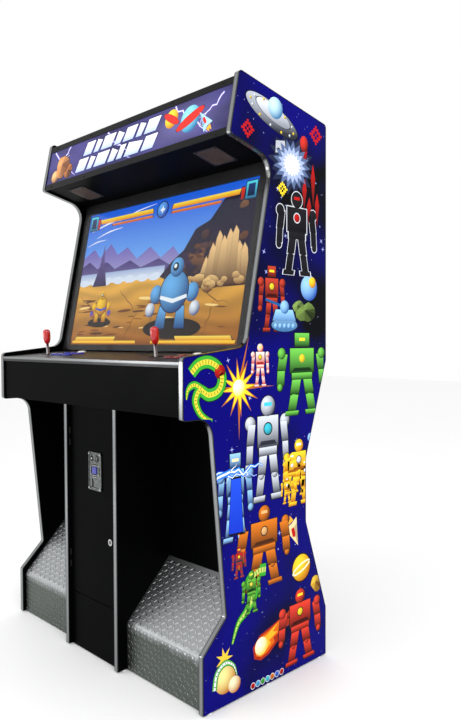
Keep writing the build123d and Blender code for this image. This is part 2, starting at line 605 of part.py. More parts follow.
def coin_mech():
    """Coin entry plate with its acceptor, reject button and return flap."""
    (x_low, z_low), (x_high, z_high) = MECH_LOW, MECH_HIGH
    mech = upright(x_low, x_high, MECH_FRONT, DOOR_FRONT, z_low, z_high)
    mech += upright(x_low, x_high, MECH_FRONT - MECH_RIM, MECH_FRONT, z_low, z_high)
    mech = chamfer(mech.edges().filter_by(Axis.Y), 3)
    inner = (x_low + 4, x_high - 4)
    mech -= upright(*inner, MECH_FRONT - MECH_RIM, MECH_FRONT, z_low + 4, z_high - 4)
    mech += upright(x_low + 9, x_high - 9, DOOR_FRONT, MECH_BACK, z_low + 5, z_high - 11)
    boss_low, boss_high = MECH_FRONT - 3.5, MECH_FRONT
    mech += rod_y(11, at(boss_low), at(boss_high), SLOT_X, SLOT_HEIGHT)
    mech -= upright(SLOT_X - 1.6, SLOT_X + 1.6, 0, MECH_FRONT + 14, SLOT_HEIGHT - 8, SLOT_HEIGHT + 8)
    low, high = REJECT_HEIGHT - REJECT_HALF_Z, REJECT_HEIGHT + REJECT_HALF_Z
    gap = 0.3
    well = (REJECT_X - REJECT_HALF_X - gap, REJECT_X + REJECT_HALF_X + gap)
    mech -= upright(*well, 0, DOOR_FRONT + 9, low - gap, high + gap)
    mech -= upright(CUP_LOW[0], CUP_HIGH[0], 0, 100, CUP_LOW[1], CUP_HIGH[1])
    flap_y, flap_z = at(58), CUP_HIGH[1] - 2.5
    mech -= rod_x(FLAP_PIN + FIT, CUP_LOW[0] - 5, CUP_HIGH[0] + 5, flap_y, flap_z)
    save("coin_mech", mech)
    sides = (REJECT_X - REJECT_HALF_X, REJECT_X + REJECT_HALF_X)
    button = upright(*sides, DOOR_FRONT - 6, DOOR_FRONT + 5, low, high)
    save("reject_button", chamfer(button.edges().group_by(Axis.Y)[0], 1))
    flap = upright(CUP_LOW[0] + 0.5, CUP_HIGH[0] - 0.5, 57.2, 58.8, CUP_LOW[1] + 1, flap_z)
    flap += rod_x(FLAP_PIN, CUP_LOW[0] - 4.5, CUP_HIGH[0] + 4.5, flap_y, flap_z)
    save("return_flap", flap)


side_boards()
head()
screen()
controls()
control_box()
foot_recesses()
back()
power_inlet()
coin_door()
coin_mech()
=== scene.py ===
import json
import math
import random

import bmesh
import bpy
from mathutils import Matrix, Vector
from mathutils.geometry import tessellate_polygon


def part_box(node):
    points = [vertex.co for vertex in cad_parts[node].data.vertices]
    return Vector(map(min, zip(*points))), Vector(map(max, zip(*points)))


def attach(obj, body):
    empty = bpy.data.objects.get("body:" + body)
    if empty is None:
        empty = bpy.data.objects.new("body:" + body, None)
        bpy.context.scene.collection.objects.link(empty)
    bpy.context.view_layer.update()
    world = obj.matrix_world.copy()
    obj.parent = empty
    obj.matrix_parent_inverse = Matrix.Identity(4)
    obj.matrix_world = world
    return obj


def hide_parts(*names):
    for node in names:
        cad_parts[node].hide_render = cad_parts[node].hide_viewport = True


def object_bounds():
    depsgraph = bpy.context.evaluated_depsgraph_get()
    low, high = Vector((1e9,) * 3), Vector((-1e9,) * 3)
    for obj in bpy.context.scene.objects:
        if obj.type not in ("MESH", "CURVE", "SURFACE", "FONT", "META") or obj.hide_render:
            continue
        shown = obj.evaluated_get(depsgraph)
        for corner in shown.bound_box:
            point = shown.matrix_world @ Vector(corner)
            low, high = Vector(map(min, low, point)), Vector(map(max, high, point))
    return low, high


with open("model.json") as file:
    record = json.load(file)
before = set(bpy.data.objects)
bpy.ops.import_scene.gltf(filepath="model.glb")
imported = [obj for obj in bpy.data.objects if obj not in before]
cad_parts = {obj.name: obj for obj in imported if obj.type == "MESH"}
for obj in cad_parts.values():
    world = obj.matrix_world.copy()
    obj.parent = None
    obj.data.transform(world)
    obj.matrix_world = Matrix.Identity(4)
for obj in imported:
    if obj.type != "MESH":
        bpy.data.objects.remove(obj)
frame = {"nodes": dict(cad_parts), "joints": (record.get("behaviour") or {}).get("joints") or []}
CAD_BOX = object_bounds()
NODES = frame["nodes"]
ROOT = "cabinet"
MM = 0.001

# The cabinet's own box, in the frame's metres.
LOW, HIGH = (Vector(corner) for corner in CAD_BOX)
UP = Vector((0, 0, 1))
ACROSS = Vector((1, 0, 0))
PLAYER = Vector((0, -1, 0))
BEHIND = Vector((0, 1, 0))

# Kick plates: a folded sheet, upright at its foot and sloping back above its bend.
KICK_BEND = 0.150
KICK_RADIUS = 0.030

# Print lies in thin layers, one over another, and the shapes of a layer stand at steps within it.
LAYER = 0.00002
SUBLAYERS = 8

# The middle of the cabinet to the coin column's side, half a moulding's width, and how much of the top of a moulding
# that runs across the cabinet carries a painted highlight.
COLUMN_HALF = 0.152
TRIM_HALF = 0.0095
PAINTED_HIGHLIGHT_LINE = 0.006

# The front and rear edge of the side boards: heights, with the depth from the control box, in millimetres.
FRONT_EDGE = [(0, 66), (166, 66), (254, 155), (818, 101), (819, 0), (988, 0), (1014, 239), (1567, 351),
              (1610, 176), (1796, 214)]
REAR_EDGE = [(0, 606), (159, 606), (460, 505), (661, 505), (966, 606), (1721, 606), (1796, 214)]

# How close the printed shapes come to those boards' edges, in millimetres.
PRINT_LOW = 7.0
PRINT_HIGH = 1790.0
PRINT_MARGIN = 3.5

# The middle of a speaker grille to its edge and to its screws, and the spacing of its strands, in millimetres.
GRILLE_HALF = 48.0
GRILLE_SCREW = 42.0
GRILLE_BORDER = 5.0
STRAND_PITCH = (5.0, 2.9)

# Spacing of the tread plate's bars, how much of its upper end is plain, and how deep the bars are sunk in it.
TREAD_PITCH = 0.0165
TREAD_PLAIN = 0.004
TREAD_SUNK = 0.0002

# How far the coin plate's face lies behind its rim.
RIM_RISE = 0.0035

# Studs: length, width and rise, and the radius of the crown where the foot's is 0.5.
TREAD_STUD = (0.0150, 0.0050, 0.0013, 0.32)
STRAND = (0.0062, 0.0013, 0.0008, 0.4)
PLATE_RIB = (0.036, 0.0026, 0.0016, 0.35)
# A black stud laid beside each rib of the coin plate as a painted shadow.
RIB_SHADOW = (0.034, 0.0026, 0.0008, 0.4)
PLATE_EYE = (0.019, 0.019, 0.0012, 0.4)
PLATE_BOSS = (0.009, 0.009, 0.0022, 0.3)
BOARD_SCREW = (0.008, 0.008, 0.0018, 0.3)
PLATE_SCREW = (0.0062, 0.0062, 0.0012, 0.3)

# How sharp a corner is before it is eased, in degrees.
SHARP_CORNER = 28.0


def ink(code):
    """A linear colour from a six-digit code."""
    parts = [int(code[i:i + 2], 16) / 255 for i in (0, 2, 4)]
    return tuple(p / 12.92 if p <= 0.04045 else ((p + 0.055) / 1.055) ** 2.4 for p in parts)


# ---------------------------------------------------------------- camera, light, floor

def camera():
    place = Vector((1.8926, -1.4595, 1.0343))
    yaw, pitch, roll = (math.radians(a) for a in (45.818, -1.70, -0.204))
    forward = Vector((-math.sin(yaw) * math.cos(pitch), math.cos(yaw) * math.cos(pitch), math.sin(pitch)))
    right = Vector((math.cos(yaw), math.sin(yaw), 0))
    up = right.cross(forward)
    turned_right = math.cos(roll) * right + math.sin(roll) * up
    turned_up = -math.sin(roll) * right + math.cos(roll) * up
    data = bpy.data.cameras.new("camera")
    data.lens = 34.10
    data.sensor_width = 36.0
    data.clip_end = 60.0
    eye = bpy.data.objects.new("camera", data)
    turn = Matrix((turned_right, turned_up, -forward)).transposed().to_4x4()
    eye.matrix_world = Matrix.Translation(place) @ turn
    bpy.context.scene.collection.objects.link(eye)
    bpy.context.scene.camera = eye


def area_light(name, place, target, size, power):
    data = bpy.data.lights.new(name, "AREA")
    data.energy = power
    data.shape = "RECTANGLE"
    data.size, data.size_y = size
    lamp = bpy.data.objects.new(name, data)
    lamp.location = place
    lamp.rotation_euler = (Vector(target) - Vector(place)).to_track_quat("-Z", "Y").to_euler()
    bpy.context.scene.collection.objects.link(lamp)


def studio():
    world = bpy.data.worlds.new("studio")
    world.use_nodes = True
    room = world.node_tree.nodes["Background"]
    room.inputs["Color"].default_value = (1, 1, 1, 1)
    room.inputs["Strength"].default_value = 1.0
    bpy.context.scene.world = world
    bpy.context.scene.view_settings.view_transform = "Standard"
    area_light("key", (3.8, -1.6, 3.4), (0.2, 0, 0.9), (2.4, 2.4), 90)
    area_light("front", (-1.2, -4.2, 3.2), (0, 0, 0.8), (2.6, 2.0), 40)
    area_light("left", (-2.0, -2.4, 0.9), (-0.1, -0.2, 0.15), (0.9, 0.5), 14)
    mesh = bpy.data.meshes.new("floor")
    reach = 14.0
    corners = [(-reach, -reach, 0), (reach, -reach, 0), (reach, reach, 0), (-reach, reach, 0)]
    mesh.from_pydata(corners, [], [(0, 1, 2, 3)])
    floor = bpy.data.objects.new("floor", mesh)
    bpy.context.scene.collection.objects.link(floor)
    paint = bpy.data.materials.new("floor_paint")
    paint.use_nodes = True
    shader = paint.node_tree.nodes["Principled BSDF"]
    shader.inputs["Base Color"].default_value = (0.94, 0.94, 0.94, 1)
    shader.inputs["Roughness"].default_value = 0.7
    mesh.materials.append(paint)


# ---------------------------------------------------------------- shader groups

def group(name, inputs, outputs):
    """A shader node group with named float inputs and outputs."""
    tree = bpy.data.node_groups.new(name, "ShaderNodeTree")
    for label, value in inputs:
        socket = tree.interface.new_socket(label, in_out="INPUT", socket_type="NodeSocketFloat")
        socket.default_value = value
    for label in outputs:
        tree.interface.new_socket(label, in_out="OUTPUT", socket_type="NodeSocketFloat")
    return tree, tree.nodes.new("NodeGroupInput"), tree.nodes.new("NodeGroupOutput")


def wire(tree, source, target):
    tree.links.new(source, target)


def math_node(tree, operation, first, second=None, clamp=False):
    node = tree.nodes.new("ShaderNodeMath")
    node.operation = operation
    node.use_clamp = clamp
    for socket, value in zip(node.inputs, (first, second)):
        if isinstance(value, bpy.types.NodeSocket):
            wire(tree, value, socket)
        elif value is not None:
            socket.default_value = value
    return node.outputs[0]


def place_of(tree):
    return tree.nodes.new("ShaderNodeTexCoord").outputs["Object"]


def split_of(tree, vector):
    """The X, Y and Z of a vector."""
    split = tree.nodes.new("ShaderNodeSeparateXYZ")
    wire(tree, vector, split.inputs[0])
    return split.outputs


def held_value(tree, name, output):
    """A value held on the mesh."""
    node = tree.nodes.new("ShaderNodeAttribute")
    node.attribute_name = name
    return node.outputs[output]


def noise_node(tree, scale, detail=3.0, stretch=None):
    place = place_of(tree)
    if stretch is not None:
        turn = tree.nodes.new("ShaderNodeMapping")
        turn.inputs["Scale"].default_value = stretch
        wire(tree, place, turn.inputs["Vector"])
        place = turn.outputs["Vector"]
    node = tree.nodes.new("ShaderNodeTexNoise")
    node.inputs["Detail"].default_value = detail
    wire(tree, place, node.inputs["Vector"])
    if isinstance(scale, bpy.types.NodeSocket):
        wire(tree, scale, node.inputs["Scale"])
    else:
        node.inputs["Scale"].default_value = scale
    return node.outputs["Fac"]


def mottle_group():
    """Slow, uneven patches from 0 to 1."""
    tree, given, made = group("mottle", [("Scale", 8.0), ("Contrast", 1.6)], ["Patches"])
    centred = math_node(tree, "SUBTRACT", noise_node(tree, given.outputs["Scale"], 4.0), 0.5)
    spread = math_node(tree, "MULTIPLY", centred, given.outputs["Contrast"])
    wire(tree, math_node(tree, "ADD", spread, 0.5, clamp=True), made.inputs["Patches"])
    return tree


def edge_wear_group():
    """Where an eased edge is rubbed, broken up by noise."""
    tree, given, made = group("edge_wear", [("Amount", 0.5), ("Scale", 60.0)], ["Rubbed"])
    edge = held_value(tree, "edge", "Fac")
    rub = math_node(tree, "MULTIPLY", noise_node(tree, given.outputs["Scale"], 5.0), edge)
    strong = math_node(tree, "MULTIPLY", math_node(tree, "SUBTRACT", rub, 0.42), 6.0, clamp=True)
    wire(tree, math_node(tree, "MULTIPLY", strong, given.outputs["Amount"]), made.inputs["Rubbed"])
    return tree


def dust_group():
    """Dust that settles on faces that look up."""
    tree, given, made = group("dust", [("Amount", 0.3)], ["Dusty"])
    upward = split_of(tree, tree.nodes.new("ShaderNodeNewGeometry").outputs["Normal"])["Z"]
    flat = math_node(tree, "POWER", math_node(tree, "MAXIMUM", upward, 0.0), 3.0)
    patchy = math_node(tree, "MULTIPLY", flat, noise_node(tree, 30.0, 5.0))
    dusty = math_node(tree, "MULTIPLY", patchy, given.outputs["Amount"], clamp=True)
    wire(tree, dusty, made.inputs["Dusty"])
    return tree


def pebble_group():
    """Fine pebbled relief, as on vinyl-faced board and moulded plastic."""
    tree, given, made = group("pebble", [("Scale", 900.0)], ["Height"])
    cells = tree.nodes.new("ShaderNodeTexVoronoi")
    cells.feature = "SMOOTH_F1"
    wire(tree, place_of(tree), cells.inputs["Vector"])
    wire(tree, given.outputs["Scale"], cells.inputs["Scale"])
    wire(tree, cells.outputs["Distance"], made.inputs["Height"])
    return tree


def brushed_group():
    """Long fine scratches along X, as on rolled or brushed metal."""
    tree, given, made = group("brushed", [("Scale", 300.0)], ["Height"])
    wire(tree, noise_node(tree, given.outputs["Scale"], 4.0, (0.03, 1.0, 1.0)), made.inputs["Height"])
    return tree


GROUPS = {
    "mottle": mottle_group(),
    "edge_wear": edge_wear_group(),
    "dust": dust_group(),
    "pebble": pebble_group(),
    "brushed": brushed_group(),
}


def use(tree, name, **values):
    node = tree.nodes.new("ShaderNodeGroup")
    node.node_tree = GROUPS[name]
    for label, value in values.items():
        node.inputs[label].default_value = value
    return node.outputs[0]


def mix_colour(tree, amount, first, second):
    node = tree.nodes.new("ShaderNodeMix")
    node.data_type = "RGBA"
    for label, value in (("Factor", amount), ("A", first), ("B", second)):
        socket = node.inputs[label]
        if isinstance(value, bpy.types.NodeSocket):
            wire(tree, value, socket)
        elif isinstance(value, tuple):
            socket.default_value = (*value, 1.0)
        else:
            socket.default_value = value
    return node.outputs["Result"]


# ---------------------------------------------------------------- finishes

def shaded(tone, factor):
    return tuple(min(1.0, part * factor) for part in tone)


def finish(name, tone, rough, metal=0.0, mottle=0.12, mottle_scale=9.0, wear=0.0, wear_tone=(0.3, 0.3, 0.3),
           dust=0.0, relief=None, gloss=0.5, coat=0.0, colour=None, painted_edge_shade=None):
    """A Principled material with uneven tone and roughness, rubbed edges, dust and fine relief, and painted shade on
    eased edges when an edge colour is given. relief names a pattern, its scale and its depth. colour is a function
    that returns the socket of the surface's own pattern, which on the mouldings and the tread plate is painted
    highlight and shade."""
    made = bpy.data.materials.new(name)
    made.use_nodes = True
    tree = made.node_tree
    shader = tree.nodes["Principled BSDF"]
    patches = use(tree, "mottle", Scale=mottle_scale)
    if colour is None:
        surface = mix_colour(tree, patches, shaded(tone, 1 - mottle), shaded(tone, 1 + mottle))
    else:
        surface = mix_colour(tree, math_node(tree, "MULTIPLY", patches, mottle), colour(tree), tone)
    # Painted shade: the eased edges take the dark edge colour.
    if painted_edge_shade:
        surface = mix_colour(tree, held_value(tree, "edge", "Fac"), surface, painted_edge_shade)
    if wear:
        surface = mix_colour(tree, use(tree, "edge_wear", Amount=wear), surface, wear_tone)
    if dust:
        surface = mix_colour(tree, use(tree, "dust", Amount=dust), surface, (0.35, 0.33, 0.3))
    wire(tree, surface, shader.inputs["Base Color"])
    spread = math_node(tree, "MULTIPLY", math_node(tree, "SUBTRACT", patches, 0.5), 0.25 * rough + 0.03)
    wire(tree, math_node(tree, "ADD", spread, rough, clamp=True), shader.inputs["Roughness"])
    shader.inputs["Metallic"].default_value = metal
    shader.inputs["Specular IOR Level"].default_value = gloss
    shader.inputs["Coat Weight"].default_value = coat
    shader.inputs["Coat Roughness"].default_value = 0.08
    if relief:
        pattern, scale, depth = relief
        bump = tree.nodes.new("ShaderNodeBump")
        bump.inputs["Strength"].default_value = 0.6
        bump.inputs["Distance"].default_value = depth
        wire(tree, use(tree, pattern, Scale=scale), bump.inputs["Height"])
        wire(tree, bump.outputs["Normal"], shader.inputs["Normal"])
    return made


def inked(tree):
    """The print's own colour."""
    return held_value(tree, "ink", "Color")


def space_pattern(tree):
    """The side graphics' ground: indigo that breaks into black, with a scatter of faint stars."""
    place = place_of(tree)
    split = split_of(tree, place)
    from_middle = math_node(tree, "ABSOLUTE", math_node(tree, "SUBTRACT", split["Z"], 1.32))
    middle = math_node(tree, "SUBTRACT", 1.25, math_node(tree, "MULTIPLY", from_middle, 2.6), clamp=True)
    drift = math_node(tree, "MULTIPLY", math_node(tree, "SUBTRACT", noise_node(tree, 3.4, 2.0), 0.5), 3.4)
    black = math_node(tree, "ADD", middle, drift)
    front = math_node(tree, "MULTIPLY", math_node(tree, "SUBTRACT", 0.0, split["Y"]), 0.8)
    black = math_node(tree, "SUBTRACT", black, front, clamp=True)
    ground = mix_colour(tree, black, ink("020070"), ink("020306"))
    stars = tree.nodes.new("ShaderNodeTexVoronoi")
    stars.inputs["Scale"].default_value = 55.0
    wire(tree, place, stars.inputs["Vector"])
    spark = math_node(tree, "LESS_THAN", stars.outputs["Distance"], 0.045)
    return mix_colour(tree, spark, ground, (0.55, 0.6, 0.9))


def painted_shade_below_bend(low_tone, high_tone):
    """Painted shade on the kick plate: lighter on the slope above the bend, darker on the upright part below it, with
    noise along the change.
    """
    def pattern(tree):
        height = split_of(tree, place_of(tree))["Z"]
        rise = math_node(tree, "DIVIDE", math_node(tree, "SUBTRACT", height, KICK_BEND - 0.025), 0.03)
        uneven = math_node(tree, "SUBTRACT", noise_node(tree, 12.0, 4.0), 0.5)
        amount = math_node(tree, "ADD", rise, uneven, clamp=True)
        return mix_colour(tree, amount, low_tone, high_tone)
    return pattern


def painted_highlight_and_shade(centre, half, below, crown=9.0):
    """A moulding with a painted highlight along its middle and painted shade at its edges, standing in for the
    reflections of a rounded crown. centre is how far it lies from the cabinet's middle. Over the height given as
    below, it runs across the cabinet: a painted highlight line under its top, which is at crown, and painted shade
    under that."""
    def pattern(tree):
        split = split_of(tree, place_of(tree))
        aside = math_node(tree, "SUBTRACT", math_node(tree, "ABSOLUTE", split["X"]), centre)
        share = math_node(tree, "DIVIDE", math_node(tree, "ABSOLUTE", aside), half)
        band = math_node(tree, "MULTIPLY", math_node(tree, "SUBTRACT", share, 0.45), 2.6, clamp=True)
        upright = math_node(tree, "LESS_THAN", split["Z"], below)
        under = math_node(tree, "SUBTRACT", crown - PAINTED_HIGHLIGHT_LINE, split["Z"])
        under = math_node(tree, "DIVIDE", under, 0.003, clamp=True)
        across = math_node(tree, "MULTIPLY", under, math_node(tree, "SUBTRACT", 1.0, upright))
        band = math_node(tree, "ADD", math_node(tree, "MULTIPLY", band, upright), across)
        # Painted highlight (0.27) along the middle, painted shade (0.035) at the edges and under the top line.
        return mix_colour(tree, band, (0.27, 0.28, 0.285), (0.035, 0.036, 0.037))
    return pattern


def lit_print(name, strength, rough, paper, gloss):
    """Print with light behind it."""
    made = finish(name, paper, rough, mottle=0.02, gloss=gloss, colour=inked)
    tree = made.node_tree
    shader = tree.nodes["Principled BSDF"]
    wire(tree, inked(tree), shader.inputs["Emission Color"])
    shader.inputs["Emission Strength"].default_value = strength
    return made


def screen_finish():
    """A picture that shines by itself, on a dark panel."""
    made = lit_print("screen_light", 0.92, 0.5, (0.005, 0.005, 0.005), 0.1)
    shader = made.node_tree.nodes["Principled BSDF"]
    made.node_tree.links.remove(shader.inputs["Base Color"].links[0])
    shader.inputs["Base Color"].default_value = (0.01, 0.01, 0.012, 1)
    return made


def glass_finish():
    made = bpy.data.materials.new("clear_glass")
    made.use_nodes = True
    tree = made.node_tree
    shader = tree.nodes["Principled BSDF"]
    shader.inputs["Base Color"].default_value = (0.98, 0.99, 0.99, 1)
    shader.inputs["Transmission Weight"].default_value = 1.0
    shader.inputs["IOR"].default_value = 1.15
    smear = use(tree, "mottle", Scale=5.0)
    wire(tree, math_node(tree, "MULTIPLY", smear, 0.02), shader.inputs["Roughness"])
    return made


def lamp_finish():
    made = finish("lamp_white", (0.85, 0.85, 0.82), 0.4, mottle=0.03)
    shader = made.node_tree.nodes["Principled BSDF"]
    shader.inputs["Emission Color"].default_value = (1, 0.98, 0.92, 1)
    shader.inputs["Emission Strength"].default_value = 0.8
    return made


# The inner mouldings stand upright up to the top of the coin column. The ones above it run across the cabinet.
COLUMN_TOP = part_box("column_partitions")[1].z
INNER_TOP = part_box("inner_edge_trims")[1].z

# What several finishes share.
# Mouldings: painted shade on their eased edges.
MOULDING = dict(tone=(0.15, 0.155, 0.16), rough=0.22, metal=1.0, mottle=0.2, painted_edge_shade=(0.02, 0.02, 0.021),
                relief=("brushed", 220.0, 0.00003))
TREAD = dict(tone=(0.3, 0.31, 0.31), metal=1.0, mottle_scale=5.0)
BUTTON = dict(rough=0.16, mottle=0.06, coat=0.5, wear=0.2)
SIDE_INK = dict(rough=0.34, gloss=0.045)

BLACK_BOARD = finish("black_vinyl_board", (0.0012, 0.0013, 0.0014), 0.36, wear=0.35, wear_tone=(0.05, 0.05, 0.046),
                     dust=0.006, relief=("pebble", 1100.0, 0.00003), gloss=0.012)
RAW_BOARD = finish("raw_board", (0.42, 0.30, 0.19), 0.8, mottle=0.2, relief=("brushed", 160.0, 0.0001))
# Chrome mouldings: their colour is a painted highlight along the middle and painted shade at the edges.
INNER_TRIM = finish("satin_chrome_moulding", **MOULDING,
                    colour=painted_highlight_and_shade(COLUMN_HALF - TRIM_HALF, TRIM_HALF, COLUMN_TOP, INNER_TOP))
SIDE_TRIM = finish("side_chrome_moulding", colour=painted_highlight_and_shade(HIGH.x - TRIM_HALF, TRIM_HALF, HIGH.z + 1), **MOULDING)
BRIGHT_CHROME = finish("bright_chrome", (0.50, 0.50, 0.52), 0.12, 1.0, mottle=0.1, mottle_scale=25.0)
COIN_PLATE = finish("coin_plate_chrome", (0.12, 0.13, 0.125), 0.2, 1.0, mottle=0.9, mottle_scale=120.0,
                    relief=("pebble", 420.0, 0.0002))
ZINC = finish("zinc_plate", (0.42, 0.43, 0.44), 0.35, 1.0, mottle=0.15, relief=("brushed", 260.0, 0.0001))
# Painted shade: the tread plate's sheet and bars are darker below the bend and lighter on the slope above it.
TREAD_SHEET = finish("tread_plate_ground", rough=0.46, dust=0.03, relief=("brushed", 300.0, 0.00003),
                     colour=painted_shade_below_bend((0.085, 0.1, 0.09), (0.33, 0.345, 0.35)), **TREAD)
TREAD_BAR = finish("tread_plate_bars", rough=0.24, colour=painted_shade_below_bend((0.13, 0.15, 0.135), (0.56, 0.57, 0.58)), **TREAD)
BEZEL_PLASTIC = finish("screen_frame_plastic", (0.030, 0.028, 0.029), 0.38, gloss=0.35,
                       relief=("pebble", 1500.0, 0.00005))
BLACK_PLASTIC = finish("black_plastic", (0.0045, 0.0045, 0.005), 0.42, relief=("pebble", 1500.0, 0.00004), gloss=0.12,
                       wear=0.2, wear_tone=(0.05, 0.05, 0.05))
BLUE_PLASTIC = finish("blue_button_plastic", ink("101A98"), **BUTTON)
RED_PLASTIC = finish("red_button_plastic", ink("741020"), **BUTTON)
WHITE_PLASTIC = finish("white_button_plastic", ink("E8E8E4"), 0.18, mottle=0.04, coat=0.5)
COIN_BLUE = finish("coin_button_blue", ink("18228C"), 0.12, mottle=0.06, coat=0.5)
BAT_RED = finish("bat_top_red", ink("BE1016"), 0.14, mottle=0.05, coat=0.7)
BLACK_METAL = finish("black_painted_steel", (0.004, 0.004, 0.0044), 0.38, gloss=0.1,
                     relief=("pebble", 1300.0, 0.0001))
GRILLE_FRAME = finish("grille_frame", (0.018, 0.018, 0.02), 0.4, gloss=0.2, mottle=0.2, wear=0.4)
GRILLE_MESH = finish("grille_mesh", (0.13, 0.085, 0.07), 0.45, 0.5, mottle=0.3, mottle_scale=30.0)
SPACE_PRINT = finish("side_graphics_ground", (0.0, 0.0, 0.05), mottle=0.05, colour=space_pattern, **SIDE_INK)
SIDE_PRINT = finish("side_graphics_inks", (0.2, 0.2, 0.2), mottle=0.03, colour=inked, **SIDE_INK)
DECK_PRINT = finish("deck_inks", (0.02, 0.02, 0.02), 0.38, mottle=0.15, dust=0.04, gloss=0.15, colour=inked)
DECK_BASE = finish("deck_laminate", (0.008, 0.008, 0.01), 0.36, mottle=0.25, mottle_scale=14.0, wear=0.3, gloss=0.2,
                   wear_tone=(0.1, 0.1, 0.1), dust=0.04, relief=("pebble", 1400.0, 0.00003))
MARQUEE_PRINT = lit_print("marquee_inks", 0.10, 0.25, (0.02, 0.02, 0.05), 0.2)
MARQUEE_BASE = finish("marquee_acrylic_base", ink("2A2656"), 0.25, mottle=0.1)
SCREEN_PRINT = screen_finish()
GLASS = glass_finish()
LAMP_WHITE = lamp_finish()


# ---------------------------------------------------------------- mesh helpers

def place_piece(name, mesh, body=ROOT, stands_for=(), slot=None):
    """Links a mesh as a piece of the object, riding on a body."""
    made = bpy.data.objects.new(name, mesh)
    bpy.context.scene.collection.objects.link(made)
    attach(made, body)
    if stands_for:
        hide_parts(*stands_for)


def painted_piece(name, mesh, paint, body=ROOT, stands_for=(), slot=None):
    mesh.materials.clear()
    mesh.materials.append(paint)
    place_piece(name, mesh, body, stands_for, slot)


def smooth_mesh(name, points, faces):
    """A smooth mesh from points in metres, with its faces turned outwards."""
    mesh = bpy.data.meshes.new(name)
    shape = bmesh.new()
    corners = [shape.verts.new(p) for p in points]
    for face in faces:
        shape.faces.new([corners[i] for i in face])
    bmesh.ops.remove_doubles(shape, verts=shape.verts, dist=1e-7)
    bmesh.ops.recalc_face_normals(shape, faces=shape.faces)
    for face in shape.faces:
        face.smooth = True
    shape.to_mesh(mesh)
    shape.free()
    return mesh


def eased(node, width, paint, body=ROOT, slot=None, segments=2):
    """A copy of a CAD piece with its sharp edges eased, and the eased faces marked for wear."""
    shape = bmesh.new()
    shape.from_mesh(NODES[node].data)
    bmesh.ops.remove_doubles(shape, verts=shape.verts, dist=2e-6)
    bmesh.ops.dissolve_limit(shape, angle_limit=math.radians(0.5), verts=shape.verts, edges=shape.edges)
    limit = math.radians(SHARP_CORNER)
    sharp = [e for e in shape.edges if len(e.link_faces) == 2 and e.calc_face_angle(0) > limit]
    eased_edges = bmesh.ops.bevel(shape, geom=sharp, offset=width, offset_type="OFFSET", segments=segments,
                                  profile=0.5, affect="EDGES", clamp_overlap=True)
    mark = shape.faces.layers.float.new("edge")
    for face in eased_edges["faces"]:
        if face.is_valid:
            face[mark] = 1.0
            face.smooth = True
    mesh = bpy.data.meshes.new(f"{node}_eased")
    shape.to_mesh(mesh)
    shape.free()
    painted_piece(f"{node}_eased", mesh, paint, body, (node,), slot)


def turned(profile, turns, frame_at, ring=False):
    """Points and faces of a round shape, from radii and heights in millimetres in the frame frame_at.
    A ring's profile comes back to its start; any other shape is closed by a cap at each end."""
    points, faces = [], []
    for radius, height in profile:
        reach = max(radius, 0.01) * MM
        for i in range(turns):
            angle = 2 * math.pi * i / turns
            points.append(frame_at @ Vector((reach * math.cos(angle), reach * math.sin(angle), height * MM)))
    last = (len(profile) - 1) * turns
    for here in range(0, last + 1 if ring else last, turns):
        following = (here + turns) % len(points)
        for i in range(turns):
            j = (i + 1) % turns
            faces.append((here + i, here + j, following + j, following + i))
    if not ring:
        faces.append(tuple(range(turns)))
        faces.append(tuple(range(last, last + turns)))
    return points, faces


def lathe(name, profile, frame_at, paint, body=ROOT, stands_for=(), slot=None, turns=40, ring=False):
    """A round piece from a profile of radius and height in millimetres."""
    mesh = smooth_mesh(name, *turned(profile, turns, frame_at, ring))
    painted_piece(name, mesh, paint, body, stands_for, slot)


def arc(centre, radius, start, end):
    """Points of a curved stretch of a profile, angles in degrees."""
    steps = 5
    angles = [math.radians(start + (end - start) * i / steps) for i in range(steps + 1)]
    return [(centre[0] + radius * math.cos(a), centre[1] + radius * math.sin(a)) for a in angles]


class Flat:
    """The flat side of a CAD piece that looks a given way: its middle, its axes and its size."""

    def __init__(self, node, towards):
        mesh = NODES[node].data
        sides = {}
        for face in mesh.polygons:
            if face.normal.dot(towards) > 0.6:
                key = tuple(round(part, 2) for part in face.normal)
                sides.setdefault(key, []).append(face)
        faces = max(sides.values(), key=lambda side: sum(f.area for f in side))
        self.out = faces[0].normal.normalized()
        level = max(mesh.vertices[i].co.dot(self.out) for f in faces for i in f.vertices)
        self.across = ACROSS if self.out.dot(UP) > -0.6 else -ACROSS
        self.up = self.out.cross(self.across).normalized()
        corners = [mesh.vertices[i].co for f in faces for i in f.vertices]
        corners = [c for c in corners if c.dot(self.out) > level - 1e-5]
        u = [c.dot(self.across) for c in corners]
        v = [c.dot(self.up) for c in corners]
        self.width, self.height = max(u) - min(u), max(v) - min(v)
        middle_u, middle_v = (max(u) + min(u)) / 2, (max(v) + min(v)) / 2
        self.middle = self.across * middle_u + self.up * middle_v + self.out * level

    def at(self, u, v, lift=0.0):
        """A point from millimetres across and up from the middle, lifted by metres."""
        return self.middle + self.across * (u * MM) + self.up * (v * MM) + self.out * lift

    def frame_at(self, u, v, lift=0.0):
        turn = Matrix((self.across, self.up, self.out)).transposed().to_4x4()
        return Matrix.Translation(self.at(u, v, lift)) @ turn


class SideFlat:
    """The outer face of one side's graphics, in depth from the control box and height, in millimetres."""

    def __init__(self, sign):
        self.sign = sign
        self.out = ACROSS * sign
        self.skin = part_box("side_graphics")[1].x

    def at(self, depth, height, lift=0.0):
        """A point on the graphics, kept on the board: what runs past its outline ends at it."""
        height = min(max(height, PRINT_LOW), PRINT_HIGH)
        front, rear = side_span(height)
        depth = min(max(depth, front + PRINT_MARGIN), rear - PRINT_MARGIN)
        return Vector((self.sign * (self.skin + lift), LOW.y + depth * MM, height * MM))


# ---------------------------------------------------------------- print

